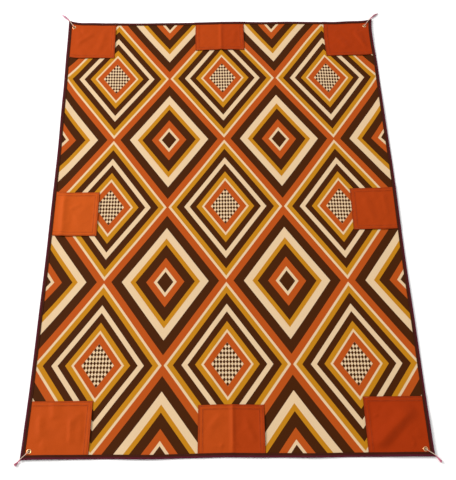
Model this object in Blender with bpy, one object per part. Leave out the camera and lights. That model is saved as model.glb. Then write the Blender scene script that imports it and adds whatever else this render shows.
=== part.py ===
"""A picnic blanket laid out flat: cloth, tape binding, eight patch pockets, and four eyelets with cord ties.

Sizes are in metres and +Z is up. The floor is z = 0, and the origin is on it, under the middle of the blanket.
+X runs to the right and +Y to the far end.

p and q are places on the blanket as it was cut, from its middle: p across it and q along it. place(p, q)
gives the point where such a place lies now that the edges have drawn in, at the height of the cloth's
underside. Every layer is built on the same lines of p and q, so the layers stay parallel and never touch.
"""

from bisect import bisect_right
from collections import namedtuple
from math import cos, hypot, pi, radians, sin

import bmesh
import bpy
from mathutils import Vector

# The blanket as cut, tip to tip
WIDTH = 1.40
LENGTH = 2.00
HALF_WIDTH = WIDTH / 2
HALF_LENGTH = LENGTH / 2

# Thickness of each layer, and the air between two pieces
CLOTH = 0.0012
PATCH = 0.0010
TAPE = 0.0010
GAP = 0.0003

# The tape folds over the cloth's edge
TAPE_WIDTH = 0.015
CLOTH_INSET = TAPE + GAP
MITRE_CUT = 0.00025
FIRST_STATION = 0.030
SLANT_SHARE = TAPE_WIDTH / FIRST_STATION
EDGE_P = HALF_WIDTH - CLOTH_INSET
EDGE_Q = HALF_LENGTH - CLOTH_INSET

# The tape climbs over each pocket's side edge
CLIMB_FROM = 0.001
CLIMB_TO = 0.013

# Heights above the underside of the cloth
TAPE_BOTTOM = -GAP - TAPE
TAPE_TOP = CLOTH + GAP + TAPE
PATCH_BOTTOM = CLOTH + GAP
PATCH_RISE = PATCH + GAP

# Ties of round cord, and the eyelets that they run through
CORD = 0.0025
FLOOR_CLEARANCE = 0.0001
EYELET_FIELD = 0.054
BARREL_RADIUS = 0.0036
BARREL_WALL = 0.0006
FLANGE_RADIUS = 0.0084
FLANGE_UNDER = 0.0008
FLANGE_OVER = 0.0010
HOLE_RADIUS = BARREL_RADIUS + BARREL_WALL + GAP
CUTTER_HEIGHT = 0.030
EYELET_STEPS = 20

# The tape lifts the rim off the floor, and the cord under each corner lifts it more
RIM_LIFT = GAP + TAPE
CORNER_LIFT = CORD + FLOOR_CLEARANCE + GAP + TAPE + GAP
CORNER_FLAT_SUM = 0.098
CORNER_LIFT_SUM = 0.22

# How far from each corner it is drawn out to its tip
CORNER_REACH = 0.072

# Each edge from its start, left or near, to its end: how far its middle has drawn in, and how far its line
# stands in from the two tips
Edge = namedtuple("Edge", "bow start_draw end_draw")
EDGES = {
    "left": Edge(bow=0.0116, start_draw=0.0008, end_draw=0.0006),
    "right": Edge(bow=0.0010, start_draw=0.0016, end_draw=0.0042),
    "near": Edge(bow=0.0010, start_draw=0.0010, end_draw=0.0010),
    "far": Edge(bow=0.0002, start_draw=0.0158, end_draw=0.0112),
}

# The near edge lies a little on the slant: its right tip is this much nearer, and its left tip farther
NEAR_SLANT = 0.0041

# Slow bends of each edge: the middle of each along its edge, half its length, and how far out it goes
Sway = namedtuple("Sway", "edge middle half_length outward")
SWAYS = (
    Sway("left", 0.28, 0.24, -0.0012),
    Sway("left", 0.76, 0.16, 0.0012),
    Sway("right", 0.90, 0.17, -0.0046),
    Sway("right", 0.16, 0.28, 0.0026),
    Sway("right", -0.30, 0.22, -0.0012),
    Sway("near", -0.27, 0.15, 0.0026),
    Sway("near", -0.01, 0.14, -0.0020),
    Sway("near", 0.29, 0.12, 0.0018),
    Sway("far", -0.31, 0.16, -0.0032),
    Sway("far", 0.06, 0.22, 0.0040),
    Sway("far", 0.52, 0.10, -0.0020),
)

# Low waves in the rim: the middle of each along its edge, half its length, and its height
Wave = namedtuple("Wave", "edge middle half_length height")
WAVE_REACH = 0.115
WAVES = (
    Wave("left", -0.46, 0.17, 0.0024),
    Wave("left", 0.44, 0.20, 0.0026),
    Wave("right", -0.40, 0.18, 0.0016),
    Wave("right", 0.42, 0.19, 0.0018),
    Wave("near", -0.29, 0.14, 0.0022),
    Wave("near", 0.30, 0.14, 0.0022),
    Wave("far", -0.29, 0.14, 0.0022),
    Wave("far", 0.30, 0.14, 0.0022),
)

# Soft folds left by the way the blanket was packed: a ridge from one place to another
Fold = namedtuple("Fold", "start end height reach")
FOLDS = (
    Fold(start=(-0.048, -0.430), end=(-0.060, -0.860), height=0.0020, reach=0.034),
    Fold(start=(0.015, -0.780), end=(0.015, -1.020), height=0.0030, reach=0.0150),
    Fold(start=(0.000, 0.790), end=(0.000, 1.020), height=0.0022, reach=0.0150),
    Fold(start=(0.655, -0.826), end=(0.490, -0.979), height=0.0036, reach=0.040),
    Fold(start=(-0.655, 0.110), end=(-0.655, -0.170), height=0.0024, reach=0.026),
)
FOLD_FADE = 0.25

# Pockets: the lines of their edges on the cloth, and how far each stands off the cloth at its middle
RIGHT_POCKET_P = HALF_WIDTH - 0.224
SIDE_POCKET_P = HALF_WIDTH - 0.190
CROWN_SLOPE = 0.6
Pocket = namedtuple("Pocket", "left right near far crown")
POCKETS = {
    "near_left": Pocket(-EDGE_P, -0.472, -EDGE_Q, -0.797, crown=0.0022),
    "near_mid": Pocket(-0.104, 0.127, -EDGE_Q, -0.816, crown=0.0016),
    "near_right": Pocket(RIGHT_POCKET_P, EDGE_P, -EDGE_Q, -0.789, crown=0.0020),
    "side_left": Pocket(-EDGE_P, -SIDE_POCKET_P, -0.132, 0.071, crown=0.0018),
    "side_right": Pocket(SIDE_POCKET_P, EDGE_P, -0.111, 0.083, crown=0.0014),
    "far_left": Pocket(-EDGE_P, -0.482, 0.787, EDGE_Q, crown=0.0016),
    "far_mid": Pocket(-0.116, 0.106, 0.829, EDGE_Q, crown=0.0014),
    "far_right": Pocket(RIGHT_POCKET_P, EDGE_P, 0.794, EDGE_Q, crown=0.0018),
}

# Lines that every layer is built on: some at the same distance from each edge, some across the middle
RIM_DISTANCES = (0.0, CLOTH_INSET, TAPE_WIDTH, EYELET_FIELD, CORNER_REACH, 0.115)
MIDDLE_P = (-0.38, -0.28, -0.19, -0.060, -0.015, 0.0, 0.015, 0.030, 0.060, 0.19, 0.28, 0.38)
MIDDLE_Q = (-0.70, -0.58, -0.46, -0.34, -0.22, 0.0, 0.18, 0.30, 0.42, 0.56, 0.70)

# Ties: how far in from the side and the end the eyelet stands, the heading from the eyelet to the tie's end,
# measured from the near or far edge, and how far aside of that line the tie swings half way
Tie = namedtuple("Tie", "side end inset_p inset_q heading swing")
TIES = {
    "near_left": Tie(side=-1, end=-1, inset_p=0.0275, inset_q=0.0275, heading=radians(45.6), swing=-0.0008),
    "near_right": Tie(side=1, end=-1, inset_p=0.0295, inset_q=0.0252, heading=radians(42.0), swing=0.0040),
    "far_left": Tie(side=-1, end=1, inset_p=0.0265, inset_q=0.0340, heading=radians(51.8), swing=-0.0046),
    "far_right": Tie(side=1, end=1, inset_p=0.0348, inset_q=0.0348, heading=radians(48.8), swing=0.0062),
}

# The bound and frayed end of each tie: its length, its radius where it is widest, the share of the way along
# it at which that is, and its radius at its end
Knot = namedtuple("Knot", "length girth widest end_girth")
KNOTS = {
    "near_left": Knot(length=0.017, girth=0.0050, widest=0.80, end_girth=0.0046),
    "near_right": Knot(length=0.019, girth=0.0047, widest=0.85, end_girth=0.0042),
    "far_left": Knot(length=0.047, girth=0.0060, widest=0.45, end_girth=0.0018),
    "far_right": Knot(length=0.045, girth=0.0052, widest=0.42, end_girth=0.0024),
}

# A tie runs from its knot, under the corner, up through the eyelet and back over the corner to the knot
KNOT_BEYOND_TIP = 0.0075
LEVEL_END = 0.0018
SWING_FROM = 0.010
UNDER_CORNER = (0.95, 0.80, 0.62, 0.42, 0.24)
OVER_CORNER = (0.50, 0.68, 0.84, 1.0)
TURN_ANGLES = (-90, -135, -180, -225, -270)
ON_FLOOR = CORD / 2 + FLOOR_CLEARANCE
OVER_RIM = CORNER_LIFT + TAPE_TOP + PATCH_RISE + GAP + CORD / 2
TURN = 0.0052
TURN_CENTRE = 0.0046
STRAND_PITCH = CORD + GAP
KNOT_RADIUS = 0.0026
KNOT_HEIGHT = 0.0046
BINDING_RIDGE = 0.0004
BINDING_STEPS = ((0.0, 0), (0.0010, 1), (0.0025, 0), (0.0040, 1), (0.0050, 0))
SOFT_SHARES = (0.32, 0.42, 0.52, 0.62, 0.72, 0.82, 0.92, 1.0)
POINTS_BETWEEN = 2


def ease(share):
    """0 at 0, 1 at 1, and a smooth rise between them."""
    share = min(max(share, 0.0), 1.0)
    return share * share * (3 - 2 * share)


def swayed(side, along):
    """How far the slow bends of an edge carry it out, at a place along it."""
    bends = [sway for sway in SWAYS if sway.edge == side]
    return sum(bend.outward * ease(1 - abs(along - bend.middle) / bend.half_length) for bend in bends)


def inset(side, along, half):
    """How far an edge stands in from the line between its tips, at a place along it."""
    edge = EDGES[side]
    share = along / half
    to_tip = max(0.0, 1 - (half - abs(along)) / CORNER_REACH)
    draw = edge.start_draw + (edge.end_draw - edge.start_draw) * (share + 1) / 2
    return edge.bow * (1 - share * share) + draw * (1 - to_tip * to_tip) - swayed(side, along)


def rim_distances(p, q):
    """The distance of a place from each of the four edges."""
    return {
        "left": HALF_WIDTH + p,
        "right": HALF_WIDTH - p,
        "near": HALF_LENGTH + q,
        "far": HALF_LENGTH - q,
    }


def wave_height(wave, p, q):
    """How high one wave of the rim stands at a place."""
    along = q if wave.edge in ("left", "right") else p
    across = rim_distances(p, q)[wave.edge]
    return wave.height * ease(1 - abs(along - wave.middle) / wave.half_length) * ease(1 - across / WAVE_REACH)


def fold_height(fold, p, q):
    """How high one fold stands at a place: full along its ridge, and nothing at its ends and its foot."""
    run_p, run_q = fold.end[0] - fold.start[0], fold.end[1] - fold.start[1]
    length = hypot(run_p, run_q)
    away_p, away_q = p - fold.start[0], q - fold.start[1]
    share = (away_p * run_p + away_q * run_q) / length**2
    away = abs(away_p * run_q - away_q * run_p) / length
    return fold.height * ease(1 - away / fold.reach) * ease(share / FOLD_FADE) * ease((1 - share) / FOLD_FADE)


def lift(p, q):
    """The height of the cloth's underside above the floor."""
    from_edge = rim_distances(p, q)
    nearest = min(from_edge.values())
    corner_sum = min(from_edge["left"], from_edge["right"]) + min(from_edge["near"], from_edge["far"])
    rim = RIM_LIFT * (1 - ease((nearest - TAPE_WIDTH) / (EYELET_FIELD - TAPE_WIDTH)))
    corner = CORNER_LIFT * (1 - ease((corner_sum - CORNER_FLAT_SUM) / (CORNER_LIFT_SUM - CORNER_FLAT_SUM)))
    waves = sum(wave_height(wave, p, q) for wave in WAVES)
    folds = sum(fold_height(fold, p, q) for fold in FOLDS)
    return max(rim, corner) + waves + folds


def drawn_in(p, q):
    """The point where a place of the cut blanket lies, once its edges have drawn in."""
    right_share = (p + HALF_WIDTH) / WIDTH
    far_share = (q + HALF_LENGTH) / LENGTH
    left, right = inset("left", q, HALF_LENGTH), inset("right", q, HALF_LENGTH)
    near, far = inset("near", p, HALF_WIDTH), inset("far", p, HALF_WIDTH)
    slanted = near - NEAR_SLANT * p / HALF_WIDTH
    x = p + left * (1 - right_share) - right * right_share
    y = q + slanted * (1 - far_share) - far * far_share
    return Vector((x, y, lift(p, q)))


def shared_lines(half, middle, pocket_edges):
    """The lines in one direction, in order and without doubles."""
    rim = [sign * (half - distance) for sign in (-1, 1) for distance in RIM_DISTANCES]
    return sorted(set(rim) | set(middle) | set(pocket_edges))


P_LINES = shared_lines(
    HALF_WIDTH, MIDDLE_P, [edge for pocket in POCKETS.values() for edge in (pocket.left, pocket.right)]
)
Q_LINES = shared_lines(
    HALF_LENGTH, MIDDLE_Q, [edge for pocket in POCKETS.values() for edge in (pocket.near, pocket.far)]
)
CROSSINGS = [[drawn_in(p, q) for q in Q_LINES] for p in P_LINES]


def cell(lines, value):
    """The number of the cell that a value lies in, and its share of the way across it."""
    number = min(max(bisect_right(lines, value) - 1, 0), len(lines) - 2)
    return number, (value - lines[number]) / (lines[number + 1] - lines[number])


def place(p, q):
    """The point of a place, read straight between the crossings of the shared lines."""
    i, across = cell(P_LINES, p)
    j, along = cell(Q_LINES, q)
    near = CROSSINGS[i][j].lerp(CROSSINGS[i + 1][j], across)
    far = CROSSINGS[i][j + 1].lerp(CROSSINGS[i + 1][j + 1], across)
    return near.lerp(far, along)


def raised(point, height):
    """The same point, higher."""
    return Vector((point.x, point.y, point.z + height))


def material(name, colour, roughness, metallic=0.0):
    """A plain finish."""
    made = bpy.data.materials.new(name)
    made.use_nodes = True
    shader = made.node_tree.nodes["Principled BSDF"]
    shader.inputs["Base Color"].default_value = (*colour, 1.0)
    shader.inputs["Roughness"].default_value = roughness
    shader.inputs["Metallic"].default_value = metallic
    return made


def finished(name, shape, finish, sharp_from=radians(40)):
    """Turns a bmesh into a named object, its faces out."""
    bmesh.ops.recalc_face_normals(shape, faces=shape.faces)
    mesh = bpy.data.meshes.new(name)
    shape.to_mesh(mesh)
    shape.free()
    mesh.shade_smooth()
    mesh.set_sharp_from_angle(angle=sharp_from)
    mesh.materials.append(finish)
    made = bpy.data.objects.new(name, mesh)
    bpy.context.scene.collection.objects.link(made)
    return made


def sheet(name, p_lines, q_lines, bottom, top, finish):
    """A sheet of cloth over the crossings of two sets of lines. bottom and top give its faces' heights."""
    shape = bmesh.new()
    low = [[shape.verts.new(raised(place(p, q), bottom(p, q))) for q in q_lines] for p in p_lines]
    high = [[shape.verts.new(raised(place(p, q), top(p, q))) for q in q_lines] for p in p_lines]
    last_i, last_j = len(p_lines) - 1, len(q_lines) - 1
    for side in (low, high):
        for i in range(last_i):
            for j in range(last_j):
                shape.faces.new((side[i][j], side[i + 1][j], side[i + 1][j + 1]))
                shape.faces.new((side[i][j], side[i + 1][j + 1], side[i][j + 1]))
    for i in range(last_i):
        for j in (0, last_j):
            shape.faces.new((low[i][j], low[i + 1][j], high[i + 1][j], high[i][j]))
    for j in range(last_j):
        for i in (0, last_i):
            shape.faces.new((low[i][j], low[i][j + 1], high[i][j + 1], high[i][j]))
    return finished(name, shape, finish)


def between(lines, first, last):
    """The lines from one value to another."""
    return [line for line in lines if first <= line <= last]


def bored(made, cutter):
    """Cuts a hole with a cutter."""
    hole = made.modifiers.new("eyelet_hole", "BOOLEAN")
    hole.operation = "DIFFERENCE"
    hole.solver = "EXACT"
    hole.object = cutter


def eyelet_centre(tie):
    """The middle of an eyelet, at the height of the cloth's underside."""
    return place(tie.side * (HALF_WIDTH - tie.inset_p), tie.end * (HALF_LENGTH - tie.inset_q))


def hole_cutter(name, tie):
    """The hidden cylinder that cuts the cloth and the pocket for an eyelet."""
    shape = bmesh.new()
    bmesh.ops.create_cone(
        shape,
        cap_ends=True,
        segments=EYELET_STEPS,
        radius1=HOLE_RADIUS,
        radius2=HOLE_RADIUS,
        depth=CUTTER_HEIGHT,
    )
    bmesh.ops.translate(shape, verts=shape.verts, vec=eyelet_centre(tie))
    mesh = bpy.data.meshes.new(name)
    shape.to_mesh(mesh)
    shape.free()
    made = bpy.data.objects.new(name, mesh)
    made.hide_render = True
    made.display_type = "WIRE"
    bpy.context.scene.collection.objects.link(made)
    return made


def cloth(cutters, finish):
    """The printed cloth, with a hole near each corner."""
    made = sheet(
        "cloth",
        between(P_LINES, -EDGE_P, EDGE_P),
        between(Q_LINES, -EDGE_Q, EDGE_Q),
        bottom=lambda p, q: 0.0,
        top=lambda p, q: CLOTH,
        finish=finish,
    )
    for cutter in cutters.values():
        bored(made, cutter)


def pocket_patch(name, pocket, cutters, finish):
    """A patch pocket, lying on the cloth and a little proud of it in the middle."""
    middle_p, half_p = (pocket.left + pocket.right) / 2, (pocket.right - pocket.left) / 2
    middle_q, half_q = (pocket.near + pocket.far) / 2, (pocket.far - pocket.near) / 2

    def stand_off(p, q):
        across = ease((1 - abs(p - middle_p) / half_p) / CROWN_SLOPE)
        along = ease((1 - abs(q - middle_q) / half_q) / CROWN_SLOPE)
        return PATCH_BOTTOM + pocket.crown * across * along * pocket_is_loose(p, q)

    made = sheet(
        f"pocket_{name}",
        between(P_LINES, pocket.left, pocket.right),
        between(Q_LINES, pocket.near, pocket.far),
        bottom=stand_off,
        top=lambda p, q: stand_off(p, q) + PATCH,
        finish=finish,
    )
    if name in cutters:
        bored(made, cutters[name])


def pocket_is_loose(p, q):
    """0 under the tape and by the eyelets, which hold a pocket flat, and 1 further in."""
    from_edge = rim_distances(p, q)
    nearest_side = min(from_edge["left"], from_edge["right"])
    nearest_end = min(from_edge["near"], from_edge["far"])
    past_tape = ease((min(nearest_side, nearest_end) - TAPE_WIDTH) / (EYELET_FIELD - TAPE_WIDTH))
    past_eyelet = ease((max(nearest_side, nearest_end) - EYELET_FIELD) / (CORNER_REACH - EYELET_FIELD))
    return past_tape * past_eyelet


def tape_place(side, along, across):
    """A place on an edge, by its distance along the edge and in from it."""
    return {
        "left": (across - HALF_WIDTH, along),
        "right": (HALF_WIDTH - across, along),
        "near": (along, across - HALF_LENGTH),
        "far": (along, HALF_LENGTH - across),
    }[side]


def pockets_on(side):
    """Where the pockets on an edge start and end along it."""
    edge_of = {
        "left": lambda pocket: pocket.left == -EDGE_P,
        "right": lambda pocket: pocket.right == EDGE_P,
        "near": lambda pocket: pocket.near == -EDGE_Q,
        "far": lambda pocket: pocket.far == EDGE_Q,
    }[side]
    if side in ("left", "right"):
        return [(pocket.near, pocket.far) for pocket in POCKETS.values() if edge_of(pocket)]
    return [(pocket.left, pocket.right) for pocket in POCKETS.values() if edge_of(pocket)]


def tape_climb(spans, along):
    """The share of a pocket's height that the tape has climbed at a place along it."""
    away = min(max(start - along, along - end) for start, end in spans)
    return min(max((CLIMB_TO - away) / (CLIMB_TO - CLIMB_FROM), 0.0), 1.0)


def climb_ends(span):
    """The two ends of a pocket on an edge, each with where the tape's climb starts and stops beyond it."""
    start, end = span
    return (start, -CLIMB_FROM), (start, -CLIMB_TO), (end, CLIMB_FROM), (end, CLIMB_TO)


def tape_corners(top):
    """The eight corners of the folded tape's section: distances in from the edge, and heights."""
    return (
        (TAPE_WIDTH, TAPE_BOTTOM),
        (0.0, TAPE_BOTTOM),
        (0.0, top),
        (TAPE_WIDTH, top),
        (TAPE_WIDTH, top - TAPE),
        (TAPE, top - TAPE),
        (TAPE, -GAP),
        (TAPE_WIDTH, -GAP),
    )


def binding(side, finish):
    """A tape folded over one edge of the cloth and its pockets, with its ends cut on the slant."""
    upright = side in ("left", "right")
    half = HALF_LENGTH if upright else HALF_WIDTH
    spans = pockets_on(side)
    ramps = {end + away for span in spans for end, away in climb_ends(span)}
    inner_half = half - FIRST_STATION
    lines = {*(Q_LINES if upright else P_LINES), *ramps, -inner_half, inner_half}
    stations = between(sorted(lines), -inner_half, inner_half)

    def section(station, end=0, share=1.0):
        """The section at a station, or at a share of the way to it from a slanted end."""
        points = []
        for across, height in tape_corners(TAPE_TOP + PATCH_RISE * tape_climb(spans, station)):
            slanted_end = end * (half - across - MITRE_CUT)
            along = slanted_end + (station - slanted_end) * share
            points.append(raised(place(*tape_place(side, along, across)), height))
        return points

    shape = bmesh.new()
    first = [section(-inner_half, end=-1, share=share) for share in (0.0, SLANT_SHARE)]
    last = [section(inner_half, end=1, share=share) for share in (SLANT_SHARE, 0.0)]
    sections = [*first, *(section(station) for station in stations), *last]
    rings = [[shape.verts.new(point) for point in points] for points in sections]
    inwards = [across for across, _ in tape_corners(TAPE_TOP)]
    for ring, following in zip(rings, rings[1:]):
        for a in range(len(ring)):
            b = (a + 1) % len(ring)
            if (inwards[a] < inwards[b]) == (side in ("left", "near")):
                halves = (ring[a], ring[b], following[b]), (ring[a], following[b], following[a])
            else:
                halves = (ring[a], ring[b], following[a]), (ring[b], following[b], following[a])
            for half_face in halves:
                shape.faces.new(half_face)
    for ring in (rings[0], rings[-1]):
        bottom_inner, bottom_outer, top_outer, top_inner, top_under, fold_top, fold_bottom, bottom_over = ring
        shape.faces.new((bottom_inner, bottom_outer, fold_bottom, bottom_over))
        shape.faces.new((bottom_outer, top_outer, fold_top, fold_bottom))
        shape.faces.new((top_outer, top_inner, top_under, fold_top))
    return finished(f"binding_{side}", shape, finish)


def eyelet(name, tie, finish):
    """A brass eyelet: a barrel through the cloth and the pocket, with a flange on each side."""
    outer = BARREL_RADIUS + BARREL_WALL
    under, over = -GAP, PATCH_BOTTOM + PATCH_RISE
    profile = (
        (BARREL_RADIUS, under - 0.4 * FLANGE_UNDER),
        (outer, under - FLANGE_UNDER),
        (FLANGE_RADIUS, under - FLANGE_UNDER),
        (FLANGE_RADIUS, under),
        (outer, under),
        (outer, over),
        (FLANGE_RADIUS, over),
        (0.94 * FLANGE_RADIUS, over + 0.6 * FLANGE_OVER),
        (0.76 * FLANGE_RADIUS, over + FLANGE_OVER),
        (1.15 * outer, over + FLANGE_OVER),
        (BARREL_RADIUS, over + 0.1 * FLANGE_OVER),
    )
    centre = eyelet_centre(tie)
    shape = bmesh.new()
    outline = [shape.verts.new(centre + Vector((radius, 0.0, height))) for radius, height in profile]
    edges = [shape.edges.new((outline[a], outline[(a + 1) % len(outline)])) for a in range(len(outline))]
    bmesh.ops.spin(
        shape,
        geom=edges + outline,
        cent=centre,
        axis=(0.0, 0.0, 1.0),
        angle=2 * pi,
        steps=EYELET_STEPS,
        use_merge=True,
    )
    return finished(f"eyelet_{name}", shape, finish)


def smooth_route(points):
    """A smooth curve through the points, with more points between each two."""
    padded = [2 * points[0] - points[1], *points, 2 * points[-1] - points[-2]]
    route = []
    for before, start, end, after in zip(padded, padded[1:], padded[2:], padded[3:]):
        for step in range(POINTS_BETWEEN):
            share = step / POINTS_BETWEEN
            route.append(
                0.5
                * (
                    2 * start
                    + (end - before) * share
                    + (2 * before - 5 * start + 4 * end - after) * share**2
                    + (3 * start - before - 3 * end + after) * share**3
                )
            )
    return [*route, points[-1]]


def tie_point(name, out, height):
    """A point of a tie: its distance out from the eyelet along the tie's heading, and its height."""
    tie = TIES[name]
    ahead = Vector((tie.side * cos(tie.heading), tie.end * sin(tie.heading), 0.0))
    across = Vector((-ahead.y, ahead.x, 0.0))
    whole = tip_distance(tie) + KNOT_BEYOND_TIP + KNOTS[name].length
    share = max(out - SWING_FROM, 0.0) / (whole - SWING_FROM)
    centre = eyelet_centre(tie)
    return Vector((centre.x, centre.y, height)) + ahead * out + across * tie.swing * sin(pi * share)


def tip_distance(tie):
    """How far the tip of the corner lies from the middle of its eyelet."""
    centre = eyelet_centre(tie)
    tip = place(tie.side * HALF_WIDTH, tie.end * HALF_LENGTH)
    return hypot(tip.x - centre.x, tip.y - centre.y)


def tie_route(name):
    """The loop of a tie. Its points are distances out from the eyelet's middle, and heights."""
    lower_end = KNOT_HEIGHT - STRAND_PITCH / 2
    upper_end = KNOT_HEIGHT + STRAND_PITCH / 2
    tip = tip_distance(TIES[name])
    loop_end = tip + KNOT_BEYOND_TIP - GAP
    turn_height = ON_FLOOR + TURN
    points = [(loop_end, lower_end), (loop_end - LEVEL_END, lower_end)]
    points += [(tip + 0.0030, ON_FLOOR + 0.0009), (tip + 0.0004, ON_FLOOR)]
    points += [(share * tip, ON_FLOOR) for share in UNDER_CORNER]
    for angle in TURN_ANGLES:
        turned = radians(angle)
        points.append((TURN_CENTRE + TURN * cos(turned), turn_height + TURN * sin(turned)))
    points += [(0.0095, turn_height + 0.96 * TURN), (0.016, OVER_RIM + 0.0006)]
    points += [(share * tip, OVER_RIM) for share in OVER_CORNER]
    points += [(tip + 0.0018, OVER_RIM - 0.0004), (tip + 0.0038, (OVER_RIM + upper_end) / 2)]
    points += [(loop_end - LEVEL_END, upper_end), (loop_end, upper_end)]
    return smooth_route([tie_point(name, out, height) for out, height in points])


def knot_radius(knot, share):
    """The radius of the bound and frayed end, at a share of the way along it."""
    if share < knot.widest:
        return KNOT_RADIUS + (knot.girth - KNOT_RADIUS) * ease(share / knot.widest)
    return knot.girth + (knot.end_girth - knot.girth) * ease((share - knot.widest) / (1 - knot.widest))


def knot_route(name):
    """The bound and frayed end of a tie as points of a tube, and the tube's radius at each."""
    knot = KNOTS[name]
    steps = [(out / knot.length, BINDING_RIDGE * bound) for out, bound in BINDING_STEPS]
    steps += [(share, 0.0) for share in SOFT_SHARES]
    face = tip_distance(TIES[name]) + KNOT_BEYOND_TIP
    points, radii = [], []
    for share, ridge in steps:
        radius = knot_radius(knot, share) + ridge
        resting = radius + FLOOR_CLEARANCE
        height = max(resting, KNOT_HEIGHT + (resting - KNOT_HEIGHT) * share)
        points.append(tie_point(name, face + share * knot.length, height))
        radii.append(radius)
    return points, radii


def cord_tube(name, points, radii, finish):
    """A round tube along the points, closed at both ends."""
    line = bpy.data.curves.new(name, "CURVE")
    line.dimensions = "3D"
    line.bevel_depth = CORD / 2
    line.bevel_resolution = 2
    line.use_fill_caps = True
    spline = line.splines.new("POLY")
    spline.points.add(len(points) - 1)
    for knot, point, radius in zip(spline.points, points, radii):
        knot.co = (*point, 1.0)
        knot.radius = radius / (CORD / 2)
    spline.use_smooth = True
    line.materials.append(finish)
    made = bpy.data.objects.new(name, line)
    bpy.context.scene.collection.objects.link(made)
    return made


def cord_tie(name, loop_finish, knot_finish):
    """A cord tie: a loop through the eyelet, and its bound and frayed end outside the corner."""
    route = tie_route(name)
    cord_tube(f"tie_{name}", route, [CORD / 2] * len(route), loop_finish)
    cord_tube(f"knot_{name}", *knot_route(name), knot_finish)


def main():
    for old in list(bpy.data.objects):
        bpy.data.objects.remove(old)
    cloth_finish = material("printed_cloth", (0.44, 0.19, 0.055), 0.62)
    pocket_finish = material("pocket_cloth", (0.47, 0.060, 0.009), 0.55)
    tape_finish = material("binding_tape", (0.062, 0.016, 0.012), 0.60)
    brass = material("eyelet_brass", (0.72, 0.43, 0.20), 0.30, metallic=1.0)
    loop_finish = material("tie_cord", (0.69, 0.45, 0.36), 0.70)
    knot_finish = material("knot_cord", (0.48, 0.18, 0.23), 0.72)

    cutters = {name: hole_cutter(f"cutter_{name}", shape) for name, shape in TIES.items()}
    cloth(cutters, cloth_finish)
    for side in EDGES:
        binding(side, tape_finish)
    for name, pocket in POCKETS.items():
        pocket_patch(name, pocket, cutters, pocket_finish)
    for name, shape in TIES.items():
        eyelet(name, shape, brass)
        cord_tie(name, loop_finish, knot_finish)


main()
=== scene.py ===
# %% [markdown]
# # A picnic blanket, laid out flat
# A thin printed cloth, 1.40 by 2.00 m, with a folded tape binding, eight patch pockets of plain cloth, and a
# cord tie through a brass eyelet at each corner. Sizes are in metres and +Z is up. The floor is z = 0.
# The solids of every piece are loaded first. Each finished piece then takes the place of its solid.

# %% Load the solids
from collections import namedtuple
from functools import partial
from math import cos, hypot, pi, radians, sin

import bpy
import numpy as np
from mathutils import Matrix, Vector


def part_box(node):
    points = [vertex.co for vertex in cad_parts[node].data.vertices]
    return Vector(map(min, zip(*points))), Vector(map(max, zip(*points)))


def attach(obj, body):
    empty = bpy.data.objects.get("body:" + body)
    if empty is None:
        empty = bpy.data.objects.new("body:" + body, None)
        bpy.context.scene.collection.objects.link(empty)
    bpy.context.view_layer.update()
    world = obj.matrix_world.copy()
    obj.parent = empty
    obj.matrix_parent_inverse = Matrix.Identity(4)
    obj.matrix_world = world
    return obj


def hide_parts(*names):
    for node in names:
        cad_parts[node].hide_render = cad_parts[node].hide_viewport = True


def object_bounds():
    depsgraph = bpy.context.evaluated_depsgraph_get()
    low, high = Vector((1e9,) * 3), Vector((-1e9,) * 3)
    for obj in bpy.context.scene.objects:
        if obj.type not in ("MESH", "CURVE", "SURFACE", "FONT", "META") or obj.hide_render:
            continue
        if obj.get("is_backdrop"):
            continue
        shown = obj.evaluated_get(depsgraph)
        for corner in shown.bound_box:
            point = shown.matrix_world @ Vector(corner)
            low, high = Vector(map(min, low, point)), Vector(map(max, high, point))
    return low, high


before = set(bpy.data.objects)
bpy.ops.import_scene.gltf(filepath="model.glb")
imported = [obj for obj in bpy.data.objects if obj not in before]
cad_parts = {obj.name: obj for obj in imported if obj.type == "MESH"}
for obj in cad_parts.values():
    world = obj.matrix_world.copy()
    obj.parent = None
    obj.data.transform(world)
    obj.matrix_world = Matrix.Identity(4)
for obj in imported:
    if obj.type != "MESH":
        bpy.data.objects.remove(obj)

cad_box = [list(corner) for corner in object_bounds()]
print(f"{len(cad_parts)} solids in a box of", [round(a - b, 4) for b, a in zip(*cad_box)])

# %% [markdown]
# ## The camera
# The photo was taken standing at the near end, looking down. The view was worked out from the four corners:
# about 2.6 m above the floor and 0.6 m back from the near edge, with a lens of 58 mm.

# %% Set up the camera
CAMERA_AT, LENS_MM, SENSOR_MM = (-0.03833, -1.60269, 2.62206), 57.571, 36.0
turned = Matrix.Rotation(radians(-2.0241), 4, "Z")
tilted = Matrix.Rotation(radians(28.8709), 4, "X")
levelled = Matrix.Rotation(radians(1.2193), 4, "Z")
bpy.ops.object.camera_add(location=CAMERA_AT, rotation=(turned @ tilted @ levelled).to_euler())
camera = bpy.context.object
camera.name = "camera"
camera.data.lens, camera.data.sensor_width = LENS_MM, SENSOR_MM
bpy.context.scene.camera = camera
print("camera at", tuple(round(value, 3) for value in camera.location))

# %% [markdown]
# ## How the blanket lies
# p and q are places on the blanket as it was cut: p across it and q along it, from its middle. The edges of
# a used blanket draw in between the corners, its rim waves, and folds stay where it was packed. lie(p, q,
# height) says where such a place comes to rest. Every layer uses it, so the layers stay parallel.

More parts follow.
